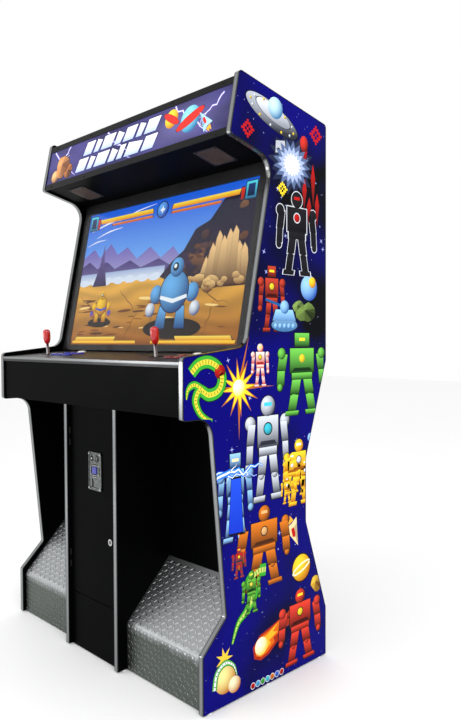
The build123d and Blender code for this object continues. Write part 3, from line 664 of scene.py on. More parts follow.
class Print:
    """Flat inked shapes laid on a surface, each in its own thin layer."""

    def __init__(self, flat):
        self.flat = flat
        self.points, self.faces, self.inks = [], [], []
        self.used = {}

    def lift(self, layer):
        """How far a new shape stands off the surface. Neighbours in one layer never share a plane."""
        self.used[layer] = self.used.get(layer, -1) + 1
        return (layer + self.used[layer] % SUBLAYERS / SUBLAYERS) * LAYER

    def shape(self, outline, tone, layer):
        """One outline, filled. tone is a colour or a function of the point."""
        start, lift = len(self.points), self.lift(layer)
        corners = [self.flat.at(u, v, lift) for u, v in outline]
        self.points += corners
        self.inks += [tone(u, v) if callable(tone) else tone for u, v in outline]
        for a, b, c in tessellate_polygon([[Vector((u, v, 0)) for u, v in outline]]):
            self.add_face((start + a, start + b, start + c))

    def add_face(self, face):
        a, b, c = (self.points[i] for i in face[:3])
        if (b - a).cross(c - a).dot(self.flat.out) < 0:
            face = tuple(reversed(face))
        self.faces.append(face)

    def field(self, u_range, v_range, cells, tone, layer):
        """A rectangle of small cells whose colour is a function of the point."""
        columns, rows = cells
        start, lift = len(self.points), self.lift(layer)
        for j in range(rows + 1):
            for i in range(columns + 1):
                u = u_range[0] + (u_range[1] - u_range[0]) * i / columns
                v = v_range[0] + (v_range[1] - v_range[0]) * j / rows
                self.points.append(self.flat.at(u, v, lift))
                self.inks.append(tone(u, v))
        for j in range(rows):
            for i in range(columns):
                corner = start + j * (columns + 1) + i
                self.add_face((corner, corner + 1, corner + columns + 2, corner + columns + 1))

    def ball(self, u, v, radius, light, dark, layer, squash=1.0, turn=0.0, lean=(-0.35, 0.4), rings=5):
        """A disc shaded as a ball, lit from the side that lean points to."""
        start, lift = len(self.points), self.lift(layer)
        steps = 32
        cos_t, sin_t = math.cos(turn), math.sin(turn)
        for ring in range(rings + 1):
            reach = ring / rings
            for i in range(steps):
                angle = 2 * math.pi * i / steps
                x, y = reach * math.cos(angle), reach * math.sin(angle)
                away = min(1.0, math.hypot(x - lean[0], y - lean[1]) / 1.45)
                px, py = x * radius, y * radius * squash
                self.points.append(self.flat.at(u + px * cos_t - py * sin_t, v + px * sin_t + py * cos_t, lift))
                self.inks.append(tuple(a + (b - a) * away ** 1.5 for a, b in zip(light, dark)))
                if ring == 0:
                    break
        for i in range(steps):
            j = (i + 1) % steps
            self.add_face((start, start + 1 + i, start + 1 + j))
            for ring in range(1, rings):
                inner, outer = start + 1 + (ring - 1) * steps, start + 1 + ring * steps
                self.add_face((inner + i, outer + i, outer + j, inner + j))

    def ribbon(self, line, widths, tone, layer):
        """A stripe along a line of points; widths are given at its start, middle and end."""
        left, right = [], []
        last = len(line) - 1
        for i in range(len(line)):
            u, v = line[i]
            before, after = line[max(i - 1, 0)], line[min(i + 1, last)]
            run, rise = after[0] - before[0], after[1] - before[1]
            length = math.hypot(run, rise) or 1.0
            share = i / last
            first, middle, end = widths
            if share < 0.5:
                width = first + (middle - first) * share * 2
            else:
                width = middle + (end - middle) * (share * 2 - 1)
            side_u, side_v = -rise / length * width / 2, run / length * width / 2
            left.append((u + side_u, v + side_v))
            right.append((u - side_u, v - side_v))
        for i in range(last):
            self.shape([left[i], left[i + 1], right[i + 1], right[i]], tone, layer)

    def outlined(self, outline, tone, edge, grow, layer):
        """A filled outline with a contrasting border behind it."""
        middle_u = sum(u for u, v in outline) / len(outline)
        middle_v = sum(v for u, v in outline) / len(outline)
        reach = max(math.hypot(u - middle_u, v - middle_v) for u, v in outline)
        scale = 1 + grow / reach
        border = [(middle_u + (u - middle_u) * scale, middle_v + (v - middle_v) * scale) for u, v in outline]
        self.shape(border, edge, layer)
        self.shape(outline, tone, layer + 1)

    def build(self, name, paint, slot):
        mesh = bpy.data.meshes.new(name)
        mesh.from_pydata([tuple(p) for p in self.points], [], self.faces)
        colours = mesh.color_attributes.new("ink", "FLOAT_COLOR", "POINT")
        for i, tone in enumerate(self.inks):
            colours.data[i].color = (*tone, 1.0)
        painted_piece(name, mesh, paint, slot=slot)


def disc(u, v, radius, steps=28, squash=1.0, turn=0.0):
    """The outline of a disc or an ellipse."""
    made = []
    for i in range(steps):
        angle = 2 * math.pi * i / steps
        x, y = radius * math.cos(angle), radius * squash * math.sin(angle)
        made.append((u + x * math.cos(turn) - y * math.sin(turn), v + x * math.sin(turn) + y * math.cos(turn)))
    return made


def star(u, v, outer, inner, points, turn=0.0):
    """The outline of a star."""
    made = []
    for i in range(points * 2):
        reach = outer if i % 2 == 0 else inner
        angle = turn + math.pi / 2 + math.pi * i / points
        made.append((u + reach * math.cos(angle), v + reach * math.sin(angle)))
    return made


def rubble(u, v, radius, seed, squash=1.0, rough=0.18, steps=22):
    """An uneven closed outline."""
    chance = random.Random(seed)
    waves = [(chance.uniform(0, 6.28), chance.uniform(0.4, 1.0) * rough / k, k) for k in (2, 3, 5, 7)]
    made = []
    for i in range(steps):
        angle = 2 * math.pi * i / steps
        reach = radius * (1 + sum(size * math.sin(k * angle + shift) for shift, size, k in waves))
        made.append((u + reach * math.cos(angle), v + reach * squash * math.sin(angle)))
    return made


def zigzag(start, end, kinks, swing, seed):
    """The line of a lightning bolt."""
    chance = random.Random(seed)
    run, rise = end[0] - start[0], end[1] - start[1]
    length = math.hypot(run, rise)
    line = []
    for i in range(kinks + 1):
        share = i / kinks
        off = 0 if i in (0, kinks) else chance.uniform(-swing, swing)
        line.append((start[0] + run * share - rise / length * off, start[1] + rise * share + run / length * off))
    return line


def bend(points, steps=6):
    """A smooth line through given points."""
    line = []
    last = len(points) - 1
    for i in range(last):
        a, b = points[max(i - 1, 0)], points[i]
        c, d = points[i + 1], points[min(i + 2, last)]
        for k in range(steps):
            t = k / steps
            line.append(tuple(
                0.5 * (2 * b[n] + (c[n] - a[n]) * t + (2 * a[n] - 5 * b[n] + 4 * c[n] - d[n]) * t * t
                       + (3 * b[n] - a[n] - 3 * c[n] + d[n]) * t ** 3) for n in (0, 1)))
    line.append(points[-1])
    return line


def gradient(low, high, start, end):
    """A colour that runs from low to high between two heights."""
    def tone(u, v):
        share = min(1.0, max(0.0, (v - start) / (end - start)))
        return tuple(a + (b - a) * share for a, b in zip(low, high))
    return tone


# ---------------------------------------------------------------- side graphics

def star_craft(side, tail, nose, width, hull, trim, layer):
    """A dart-shaped craft from its tail to its nose."""
    run, rise = nose[0] - tail[0], nose[1] - tail[1]
    length = math.hypot(run, rise)
    along, across = (run / length, rise / length), (-rise / length, run / length)

    def spot(share, off):
        reach = share * length
        return (tail[0] + along[0] * reach + across[0] * off * width,
                tail[1] + along[1] * reach + across[1] * off * width)

    for places, tone, over in (
            (((1, 0), (0.2, 0.5), (0, 0.62), (0.08, 0), (0, -0.62), (0.2, -0.5)), hull, 0),
            (((1, 0), (0.2, 0.5), (0.3, 0.05)), shaded(hull, 0.55), 1),
            (((0.25, -0.12), (0.55, -0.2), (0.62, 0), (0.5, 0.12), (0.25, 0.14)), trim, 2),
            (((0.02, 0.3), (-0.25, 0.12), (-0.1, 0), (-0.28, -0.14), (0.02, -0.3)), ink("FFB030"), 0)):
        side.shape([spot(share, off) for share, off in places], tone, layer + over)


def block_cluster(side, u, v, cell, rows, tone, layer):
    """Square blocks set in rows, each row given as the columns it fills."""
    for j, columns in enumerate(rows):
        for i in columns:
            low_u, low_v = u + i * cell, v - j * cell
            side.shape([(low_u, low_v), (low_u + cell * 0.92, low_v),
                        (low_u + cell * 0.92, low_v + cell * 0.92), (low_u, low_v + cell * 0.92)], tone, layer)


def walker(side, u, foot, height, light, dark, glow, layer, edge=(0.004, 0.004, 0.008), wide=1.0, head="box"):
    """A plain machine on two legs, standing at u with its feet at foot. Its parts are set out in tenths of its
    height, and wide stretches them sideways."""
    part = height / 10

    def spot(across, up):
        return u + across * part * wide, foot + up * part

    def plate(low_u, low_v, high_u, high_v, lean=0.0):
        corners = [spot(low_u, low_v), spot(high_u, low_v), spot(high_u + lean, high_v), spot(low_u + lean, high_v)]
        tone = gradient(dark, light, foot + low_v * part, foot + high_v * part)
        side.outlined(corners, tone, edge, part * 0.16, layer)

    def knob(across, up, radius):
        side.shape(disc(*spot(across, up), (radius + 0.1) * part, 20), edge, layer)
        side.ball(*spot(across, up), radius * part, light, dark, layer + 1, rings=3)

    for away in (-1, 1):
        plate(away * 1.25 - 0.75, 0.0, away * 1.25 + 0.75, 0.55, -away * 0.1)
        plate(away * 1.2 - 0.45, 0.55, away * 1.2 + 0.45, 2.4, -away * 0.3)
        knob(away * 0.92, 2.45, 0.42)
        plate(away * 0.9 - 0.5, 2.5, away * 0.9 + 0.5, 4.2, -away * 0.25)
        plate(away * 2.5 - 0.4, 3.6, away * 2.5 + 0.4, 5.4, -away * 0.1)
        plate(away * 2.4 - 0.45, 5.3, away * 2.4 + 0.45, 7.2, -away * 0.25)
        knob(away * 2.35, 7.3, 0.66)
        knob(away * 2.55, 3.4, 0.44)
    plate(-1.2, 4.2, 1.2, 5.0)
    plate(-1.4, 5.0, 1.4, 7.9)
    side.shape([spot(-1.2, 5.2), spot(1.2, 5.2), spot(0.9, 5.6), spot(-0.9, 5.6)], shaded(dark, 0.6), layer + 2)
    side.shape(disc(u, foot + 6.7 * part, part * 0.62, 20), edge, layer + 1)
    side.ball(u, foot + 6.7 * part, part * 0.5, glow, shaded(glow, 0.4), layer + 2, rings=3)
    if head == "box":
        plate(-0.85, 8.1, 0.85, 9.7)
    else:
        knob(0, 8.8, 0.95)
    visor = ((-0.55, 8.8), (0.55, 8.8), (0.5, 9.15), (-0.5, 9.15))
    side.shape([(u + across * part, foot + up * part) for across, up in visor], glow, layer + 2)


def boulder(side, u, v, radius, light, dark, seed, layer, squash=1.0):
    """A faceted rock with a lit side."""
    chance = random.Random(seed)
    edge = rubble(u, v, radius, seed, squash, 0.3, 14)
    side.shape([(u + (a - u) * 1.06, v + (b - v) * 1.06) for a, b in edge], (0.004, 0.004, 0.006), layer)
    peak = (u - radius * 0.15, v + radius * squash * 0.25)
    for i, corner in enumerate(edge):
        following = edge[(i + 1) % len(edge)]
        lit = 0.5 + 0.5 * ((corner[1] - v) / (radius * squash) * 0.8 - (corner[0] - u) / radius * 0.6) / 1.2
        lit = min(1.0, max(0.0, lit + chance.uniform(-0.16, 0.16)))
        tone = tuple(a + (b - a) * lit for a, b in zip(dark, light))
        side.shape([peak, corner, following], tone, layer + 1)


def bolt(side, start, end, kinks, swing, seed, width, tone, halo, layer):
    """A lightning bolt with its glow and two short branches."""
    line = zigzag(start, end, kinks, swing, seed)
    side.ribbon(line, (width * 2.6, width * 2.2, width * 0.8), halo, layer)
    side.ribbon(line, (width, width * 0.8, width * 0.2), tone, layer + 1)
    chance = random.Random(seed + 1)
    for k in (kinks // 3, 2 * kinks // 3):
        twig_end = (line[k][0] + chance.uniform(-1, 1) * swing * 4, line[k][1] + chance.uniform(-1, 1) * swing * 3)
        twig = zigzag(line[k], twig_end, 4, swing * 0.5, seed + k)
        side.ribbon(twig, (width * 0.6, width * 0.4, 0.4), tone, layer + 1)


def coil_creature(side, line, width, back, belly, ribs, layer):
    """A curling tube with a paler ribbed belly."""
    smooth = bend(line, 7)
    side.ribbon(smooth, (width * 1.12, width * 1.16, width * 0.3), (0.003, 0.01, 0.004), layer)
    side.ribbon(smooth, (width, width, width * 0.16), back, layer + 1)
    side.ribbon(smooth, (width * 0.42, width * 0.42, width * 0.06), belly, layer + 2)
    for k in range(2, len(smooth) - 2, 2):
        (u0, v0), (u1, v1) = smooth[k], smooth[k + 1]
        length = math.hypot(u1 - u0, v1 - v0) or 1.0
        off_u, off_v = -(v1 - v0) / length, (u1 - u0) / length
        reach = width * 0.2 * (1 - k / len(smooth) * 0.8)
        side.ribbon([(u0 - off_u * reach, v0 - off_v * reach), (u0 + off_u * reach, v0 + off_v * reach)],
                    (2.2, 2.2, 2.2), ribs, layer + 3)


def side_art(name, sign):
    """Space-adventure graphics: craft, planets, rocks, machines and bursts, all of them plain shapes."""
    side = Print(SideFlat(sign))
    pale, dark_grey, black = ink("E6EAF2"), ink("343846"), (0.003, 0.003, 0.005)
    red, deep_red, yellow, amber = ink("C01410"), ink("4A0806"), ink("FFDC30"), ink("B8660C")
    green, deep_green, cyan, blue = ink("38A832"), ink("083A10"), ink("40CBE0"), ink("1236C8")
    orange, brown, sky, lime = ink("E07A1C"), ink("5A2C0C"), ink("9CD2FF"), ink("E2D23E")

    craft_over_marquee(side, pale, red, yellow)
    burst_and_shards(side, red, deep_red)
    walker(side, 462, 1232, 262, ink("16161C"), black, red, 3, ink("D8DCE4"), 1.25, "round")
    walker(side, 347, 1058, 200, ink("C8402C"), deep_red, yellow, 3)
    tracked_carrier(side, 404, 1052, 118, sky, ink("1C5A96"), 5)
    boulder(side, 506, 1118, 44, ink("7C9A4A"), ink("1E2A0C"), 14, 3, 0.7)
    boulder(side, 468, 1136, 26, ink("8AA858"), ink("1E2A0C"), 15, 3, 0.7)
    side.ball(520, 1196, 40, sky, ink("1A4AA8"), 2)
    side.ball(536, 1214, 17, yellow, amber, 3)

    side.shape(star(208, 897, 150, 9, 4, 0.0), amber, 1)
    side.shape(star(208, 897, 86, 30, 12, 0.1), amber, 2)
    side.shape(star(208, 897, 66, 26, 12, 0.1), yellow, 3)
    side.ball(208, 897, 24, (1, 1, 0.85), yellow, 4)
    long_coil = [(30, 946), (56, 968), (92, 974), (126, 958), (142, 926), (128, 894), (92, 884), (60, 898), (44, 872),
                 (58, 838), (88, 812), (98, 786), (96, 760)]
    coil_creature(side, long_coil, 34, green, lime, ink("6A6010"), 3)
    coil_creature(side, [(70, 900), (40, 914), (18, 902), (12, 876)], 20, green, lime, ink("6A6010"), 4)
    side.ball(134, 946, 20, red, deep_red, 5)
    walker(side, 296, 896, 130, ink("F4ECE4"), red, yellow, 5, black, 1.0, "round")

    walker(side, 486, 800, 262, ink("74D052"), deep_green, yellow, 3, black, 1.55, "box")
    walker(side, 329, 556, 320, ink("DCE2EC"), dark_grey, cyan, 3, black, 1.0, "round")
    walker(side, 192, 462, 258, sky, ink("0C1C5A"), ink("F2E2B4"), 4, black, 0.95, "box")
    side.outlined([(166, 486), (222, 484), (214, 640), (176, 640)], gradient(blue, ink("1E50E0"), 486, 640), black,
                  6, 6)
    bolt(side, (106, 648), (306, 664), 12, 11, 5, 7, (0.85, 0.95, 1), ink("2A7AF0"), 7)
    bolt(side, (112, 662), (280, 640), 12, 9, 6, 4, (0.75, 0.92, 1), ink("1A50D8"), 6)

    for u, foot, tall in ((470, 520, 210), (438, 560, 128), (500, 548, 112), (414, 532, 84)):
        walker(side, u, foot, tall, yellow, amber, ink("F4F4FF"), 4, black, 1.15, "round")
    for v in (700, 640):
        side.ball(528, v + 24, 15, sky, blue, 3)

    walker(side, 312, 300, 250, orange, brown, ink("F0B878"), 4, black, 1.6, "round")
    walker(side, 206, 352, 92, red, dark_grey, yellow, 5, black, 1.1, "round")
    star_craft(side, (430, 470), (466, 392), 50, ink("F4D8A0"), red, 4)
    side.shape(disc(482, 318, 46), black, 4)
    side.ball(482, 318, 42, yellow, amber, 5)
    side.ribbon(disc(482, 318, 42, 28, 0.25, 0.35), (6, 6, 6), ink("F4F0C8"), 6)

    coil_creature(side, [(318, 352), (282, 352), (248, 330), (266, 292), (240, 252), (202, 222), (178, 170)],
                  36, green, ink("C0D868"), deep_green, 4)
    walker(side, 256, 236, 128, ink("6ABE3E"), deep_green, ink("E8DC50"), 6, black, 1.05, "round")

    for reach, tone, layer in ((104, ink("A82806"), 2), (82, ink("E0660E"), 3), (58, ink("FFB424"), 4)):
        flare = [(268, 96), (262, 132), (292, 160), (340, 172), (372 + reach, 214), (352 + reach * 0.6, 176),
                 (384 + reach * 0.7, 166), (340 + reach * 0.3, 138), (372, 120), (330, 92), (296, 84)]
        shrink = reach / 104
        side.shape([(300 + (a - 300) * shrink, 128 + (b - 128) * shrink) for a, b in flare], tone, layer)
    side.ball(298, 126, 27, (1, 0.98, 0.75), ink("FFC838"), 5)
    walker(side, 476, 22, 236, ink("E8402E"), deep_red, yellow, 5, black, 1.5, "round")
    boulder(side, 556, 250, 26, ink("F0C040"), brown, 33, 3)

    side.ball(150, 78, 40, ink("F6EE9A"), amber, 3)
    side.ball(186, 52, 24, ink("F8F4C8"), amber, 4)
    side.shape(star(146, 138, 34, 13, 7, 0.2), ink("F0C83A"), 4)
    coil_creature(side, [(108, 60), (118, 104), (150, 124), (182, 108), (196, 76)], 17, ink("5AB04A"), pale,
                  deep_green, 5)
    for k, tone in enumerate((red, ink("40A8E0"), green, cyan, orange, ink("3A6AE0"), red)):
        side.outlined(disc(262 + k * 21, 19, 8.5, 14), gradient(shaded(tone, 0.4), tone, 11, 27), pale, 1.5, 6)

    chance = random.Random(77)
    for k in range(60):
        height = chance.uniform(40, 1740)
        front, rear = side_span(height)
        u = chance.uniform(front + 16, rear - 16)
        size = chance.choice((1.2, 1.6, 2.2, 4.0))
        side.shape(star(u, height, size * 2.2, size * 0.5, 4, chance.uniform(0, 1.5)), ink("A9B4EF"), 1)
    side.build(name, SIDE_PRINT, "printed_vinyl")


def craft_over_marquee(side, pale, red, yellow):
    """A round grey saucer with a glass dome and a ring of lamps, and three diamonds of blocks."""
    grey, line = ink("8C919C"), ink("2A2D36")
    u, v, reach, tilt = 352, 1694, 118, -0.34
    side.outlined(disc(u, v, reach, 44, 0.3, tilt), gradient(line, ink("B4B9C6"), v - 40, v + 44), (0, 0, 0.01), 5, 4)
    side.outlined(disc(u + 4, v + 9, reach * 0.66, 40, 0.3, tilt),
                  gradient(grey, ink("E4E8F0"), v - 20, v + 40), line, 4, 5)
    side.ball(u + 12, v + 26, reach * 0.27, ink("CFF2FF"), ink("1C6A9C"), 8)
    for k in range(12):
        turn = k * math.tau / 12
        along, over = reach * 0.84 * math.cos(turn), reach * 0.25 * math.sin(turn)
        lamp = (u + along * math.cos(tilt) - over * math.sin(tilt),
                v + along * math.sin(tilt) + over * math.cos(tilt))
        side.ball(*lamp, 4.6, (yellow, pale)[k % 2], line, 7, rings=2)
    diamond = ((3,), (2, 3, 4), (1, 2, 4, 5), (0, 1, 3, 5, 6), (1, 2, 4, 5), (2, 3, 4), (3,))
    block_cluster(side, 220, 1655, 7.6, diamond, red, 3)
    block_cluster(side, 524, 1700, 8.6, diamond, red, 3)
    block_cluster(side, 372, 1504, 6.6, diamond, yellow, 3)


def burst_and_shards(side, red, deep_red):
    """A white burst with long red shards behind it and a pale box beside it."""
    shards = ((500, 1618, 60, 0.2), (540, 1540, 90, -0.15), (498, 1500, 66, 0.35), (560, 1460, 74, 0.05),
              (520, 1450, 58, 0.5))
    for u, v, reach, turn in shards:
        shard = [(u - 11, v), (u + 4 * math.sin(turn), v + reach * 0.5), (u + 11, v),
                 (u - 6 * math.sin(turn), v - reach)]
        side.outlined(shard, gradient(deep_red, red, v - reach, v + reach * 0.5), ink("160204"), 4, 3)
    side.ball(496, 1640, 19, ink("E03428"), deep_red, 4, squash=1.3)
    side.outlined([(364, 1590), (410, 1598), (406, 1632), (366, 1626)], ink("B8BCC8"), ink("20222A"), 4, 3)
    side.shape(disc(378, 1600, 7), ink("20222A"), 5)
    glow = ((96, ink("1C2440"), 1), (74, ink("5A6C94"), 5), (56, ink("A8B8DC"), 6), (36, (0.95, 0.97, 1), 7))
    middle = 439
    for k, (reach, tone, layer) in enumerate(glow):
        rays = star(middle, 1566, reach, reach * 0.72, 17, 0.3 * k)
        side.shape([(middle + (u - middle) * 1.15, v) for u, v in rays], tone, layer)


def tracked_carrier(side, u, foot, length, light, dark, layer):
    """A blocky carrier on tracks, with a turret and a barrel."""
    tall, black = length * 0.22, (0.003, 0.005, 0.01)
    side.outlined(disc(u, foot + tall, length / 2, 24, 0.34),
                  gradient(dark, shaded(light, 0.6), foot, foot + tall * 2), black, 5, layer)
    for k in range(5):
        side.ball(u + (k - 2) * length * 0.17, foot + tall * 0.9, length * 0.07, light, dark, layer + 1, rings=2)
    side.outlined([(u - length * 0.46, foot + tall * 1.5), (u + length * 0.44, foot + tall * 1.5),
                   (u + length * 0.32, foot + tall * 2.8), (u - length * 0.34, foot + tall * 2.8)],
                  gradient(dark, light, foot + tall, foot + tall * 2.8), black, 5, layer + 1)
    barrel = [(u - length * 0.1, foot + tall * 3.2), (u - length * 0.72, foot + tall * 3.9)]
    side.ribbon(barrel, (9, 8, 7), dark, layer + 1)
    side.ball(u, foot + tall * 3.1, length * 0.17, light, dark, layer + 2)


def side_span(height):
    """The front and rear edge of the side board at a height, in millimetres of depth."""
    def along(line):
        for (h0, d0), (h1, d1) in zip(line, line[1:]):
            if h0 <= height <= h1:
                return d0 + (d1 - d0) * (height - h0) / (h1 - h0)
        return line[-1][1]

    return along(FRONT_EDGE), along(REAR_EDGE)


# ---------------------------------------------------------------- marquee, picture and deck print

def marquee_art():
    """Backlit header: violet sky with bolts, slanted stripes, planets and a craft."""
    flat = Flat("marquee_panel", Vector((0, -1, 0.2)).normalized())
    art = Print(flat)
    half_u, half_v = flat.width / 2 / MM - 1, flat.height / 2 / MM - 1

    def sky(u, v):
        glow = math.exp(-((u - 300) / 150) ** 2 - ((v + 5) / 60) ** 2)
        left = math.exp(-((u + 330) / 160) ** 2 - ((v - 10) / 55) ** 2)
        wave = 0.5 + 0.5 * math.sin(u * 0.021 + 1.7 * math.sin(v * 0.05 + u * 0.006))
        base = [a + (b - a) * wave for a, b in zip(ink("1A1748"), ink("34306E"))]
        base = [a + (b - a) * 0.75 * glow for a, b in zip(base, ink("6C66A0"))]
        return tuple(a + (b - a) * 0.45 * left for a, b in zip(base, ink("5A50A0")))

    art.field((-half_u, half_u), (-half_v, half_v), (90, 14), sky, 1)
    white, halo = ink("F4F4FF"), ink("8C7CE0")
    for start, end, seed in (((-470, 60), (-300, -58), 41), ((-120, 62), (40, -60), 42), ((250, 62), (420, -60), 43),
                             ((470, 50), (380, -30), 44), ((-360, 62), (-430, -40), 45)):
        bolt(art, start, end, 9, 10, seed, 3.2, white, halo, 2)
    boulder(art, -400, -8, 40, ink("E8A060"), ink("5A2A10"), 51, 4, 1.2)
    boulder(art, -352, -34, 26, ink("C8783C"), ink("3A1A0A"), 52, 4)
    art.ball(-446, -40, 24, ink("F0C080"), ink("6A3210"), 4)
    rows = ((-262, 5, 47, (52, 30, 66, 36, 58, 30, 62)), (-300, -52, 47, (60, 30, 72, 36, 30, 78, 62)))
    for left, low, height, widths in rows:
        u, lean = left, 20
        for k, width in enumerate(widths):
            drop = height * (0.0, 0.18, 0.0, 0.3)[k % 4]
            bar = [(u, low), (u + width, low), (u + width + lean, low + height - drop), (u + lean, low + height)]
            art.outlined(bar, gradient(ink("AFC0F4"), (1, 1, 1), low, low + height), ink("1A1458"), 6, 4)
            u += width + 15
    art.ball(238, 24, 31, ink("FFE23C"), ink("B86A04"), 4)
    art.outlined(disc(238, 24, 44, 32, 0.26, -0.5), ink("E0281C"), ink("3A0A18"), 3, 5)
    art.ball(330, 2, 43, ink("8FE4F4"), ink("1C6A9C"), 4)
    art.outlined(disc(330, 2, 64, 32, 0.25, 0.4), ink("E0281C"), ink("3A0A18"), 3, 5)
    star_craft(art, (420, -44), (372, 12), 34, ink("A8DCFF"), ink("D8281E"), 6)
    art.build("marquee_art", MARQUEE_PRINT, "marquee_acrylic")


def screen_art():
    """The picture on the screen: two plain round machines on a desert plain, under energy bars."""
    flat = Flat("monitor_panel", Vector((0, -1, 0.2)).normalized())
    art = Print(flat)
    backdrop(art)
    chance = random.Random(7)
    rocks(art, chance)
    art.outlined([(-372, -34), (-344, 40), (-330, 128), (-318, 62), (-282, -34)],
                 gradient(ink("2A1C50"), ink("6A58A0"), -34, 128), ink("1A1238"), 3, 6)
    plain_marks(art, chance)
    black = ink("1C120C")
    art.shape(disc(-290, -178, 76, 30, 0.24), black, 8)
    art.shape(disc(140, -206, 150, 36, 0.24), black, 8)
    round_machine(art, -290, -176, 62, ink("FFD020"), ink("A85E04"), ink("1A4ACC"))
    round_machine(art, 130, -206, 126, ink("6CB8F4"), ink("10407E"), ink("F0F8FF"))
    energy_bars(art)
    art.build("screen_art", SCREEN_PRINT, "screen_picture")


def backdrop(art):
    """Sky, sand, wisps of cloud, two ranges of hills, a misty lake and a dark cliff."""
    sky_high, sky_low = ink("0A5CE0"), ink("72B2F8")
    art.field((-465, 465), (-10, 262), (12, 12), gradient(sky_high, sky_low, 250, 20), 1)
    sand_far, sand_near = ink("F2B848"), ink("94500F")

    def sand(u, v):
        ripple = 0.5 + 0.5 * math.sin(v * 0.11 + 2.2 * math.sin(u * 0.013 + v * 0.02))
        tone = gradient(sand_near, sand_far, -262, -10)(u, v)
        return shaded(tone, 0.78 + 0.3 * ripple)

    art.field((-465, 465), (-262, -10), (60, 34), sand, 1)
    white = ink("F4F8FF")
    for start, end, width in (((-440, 190), (-180, 232), 9), ((-400, 160), (-230, 186), 6),
                              ((-260, 214), (-40, 250), 5), ((-455, 130), (-330, 148), 5)):
        crest = ((start[0] + end[0]) / 2, (start[1] + end[1]) / 2 + 6)
        art.ribbon(bend([start, crest, end]), (1, width, 1), white, 2)
    art.shape([(-465, 10), (-465, 84), (-400, 116), (-352, 78), (-290, 128), (-236, 80), (-180, 104), (-110, 54),
               (-40, 92), (30, 46), (90, 80), (170, 10)], gradient(ink("9C98CC"), ink("6A5CB8"), 10, 110), 2)
    art.shape([(-465, -6), (-465, 48), (-420, 66), (-360, 34), (-300, 58), (-240, 26), (-150, 52), (-80, 20),
               (20, 44), (110, 6), (150, -6)], gradient(ink("6A5E98"), ink("3A2470"), -6, 60), 3)
    art.field((-465, 60), (-26, 16), (10, 4), gradient(ink("E8F0FA"), ink("9FB4DC"), -26, 16), 4)
    for k in range(7):
        u = -430 + k * 74
        art.shape(rubble(u, -20, 34, 60 + k, 0.42, 0.2), ink("DCE8F8"), 5)
    art.shape([(40, -24), (96, 26), (150, 60), (196, 128), (262, 150), (318, 214), (392, 226), (465, 250), (465, -60),
               (300, -70), (120, -52)], gradient(ink("2A1E3A"), ink("15122E"), -60, 220), 5)


def rocks(art, chance):
    """Facets on the cliff, a row of spires and boulders at their foot."""
    shadow = ink("120C1A")
    for k in range(40):
        u = chance.uniform(110, 455)
        v = chance.uniform(-40, 36 + (u - 110) * 0.52)
        tone = ink(chance.choice(("5A3A3A", "7A4E36", "3E2A4E", "2C2040", "8E6040")))
        art.outlined(rubble(u, v, chance.uniform(12, 30), 90 + k, 0.7, 0.35, 9),
                     gradient(shaded(tone, 0.3), tone, v - 20, v + 20), shadow, 3, 6)
    for k in range(8):
        u, high, lean = 236 + k * 29, 8 + 66 * math.sin(k * 0.42) + (k % 3) * 16, 18 - k * 5
        spire = [(u, -74), (u + 40, -74), (u + 30 + lean, high), (u + 14 + lean, high + 20), (u + 4 + lean, high - 6)]
        art.outlined(spire, gradient(ink("4A2412"), ink("F2C88A"), -74, high), shadow, 4, 7 + k % 2)
    for k in range(16):
        u = chance.uniform(40, 452)
        v = chance.uniform(-74, -34)
        art.outlined(rubble(u, v, chance.uniform(14, 28), 140 + k, 0.6, 0.3, 10),
                     gradient(ink("6A3414"), ink("F6CE86"), v - 16, v + 16), shadow, 3, 8)


def plain_marks(art, chance):
    """Long streaks and cracks in the sand."""
    for _ in range(44):
        u, v = chance.uniform(-440, 440), chance.uniform(-226, -88)
        tone = ink(chance.choice(("6E3A10", "5A2C0C", "FBD98A", "8A4E16")))
        streak = disc(u, v, chance.uniform(14, 46), 14, chance.uniform(0.06, 0.14), chance.uniform(-0.1, 0.1))
        art.shape(streak, tone, 2)
    crack = ink("5A3A1E")
    ends = (((-440, -70), (-250, -200)), ((-250, -200), (-330, -258)), ((-180, -60), (-60, -150)),
            ((-60, -150), (-120, -256)), ((40, -90), (10, -210)), ((240, -80), (400, -130)),
            ((340, -110), (300, -250)), ((-380, -110), (-460, -150)))
    for seed, (start, end) in enumerate(ends, 1):
        art.ribbon(zigzag(start, end, 7, 9, seed), (1.5, 3.4, 1.0), crack, 2)


def round_machine(art, u, foot, size, light, dark, trim):
    """A round-bodied machine with short legs, arms and a single lens."""
    for away in (-1, 1):
        art.outlined([(u + away * size * 0.2, foot), (u + away * size * 0.62, foot),
                      (u + away * size * 0.5, foot + size * 0.6), (u + away * size * 0.22, foot + size * 0.6)],
                     gradient(dark, light, foot, foot + size * 0.6), (0, 0, 0.01), size * 0.04, 9)
        art.ball(u + away * size * 0.74, foot + size * 0.95, size * 0.26, light, dark, 9)
        art.ball(u + away * size * 0.92, foot + size * 0.52, size * 0.2, trim, dark, 9)
    art.shape(disc(u, foot + size, size * 0.6), (0, 0, 0.01), 10)
    art.ball(u, foot + size, size * 0.57, light, dark, 11)
    belt = [(u - size * 0.55, foot + size * 0.86), (u, foot + size * 0.74), (u + size * 0.55, foot + size * 0.86)]
    art.ribbon(belt, (size * 0.1, size * 0.12, size * 0.1), trim, 12)
    art.ball(u, foot + size * 1.66, size * 0.27, light, dark, 11)
    art.shape(disc(u - size * 0.06, foot + size * 1.68, size * 0.12), (0, 0, 0.01), 12)
    art.shape(disc(u - size * 0.08, foot + size * 1.7, size * 0.06), (0.9, 1, 1), 13)


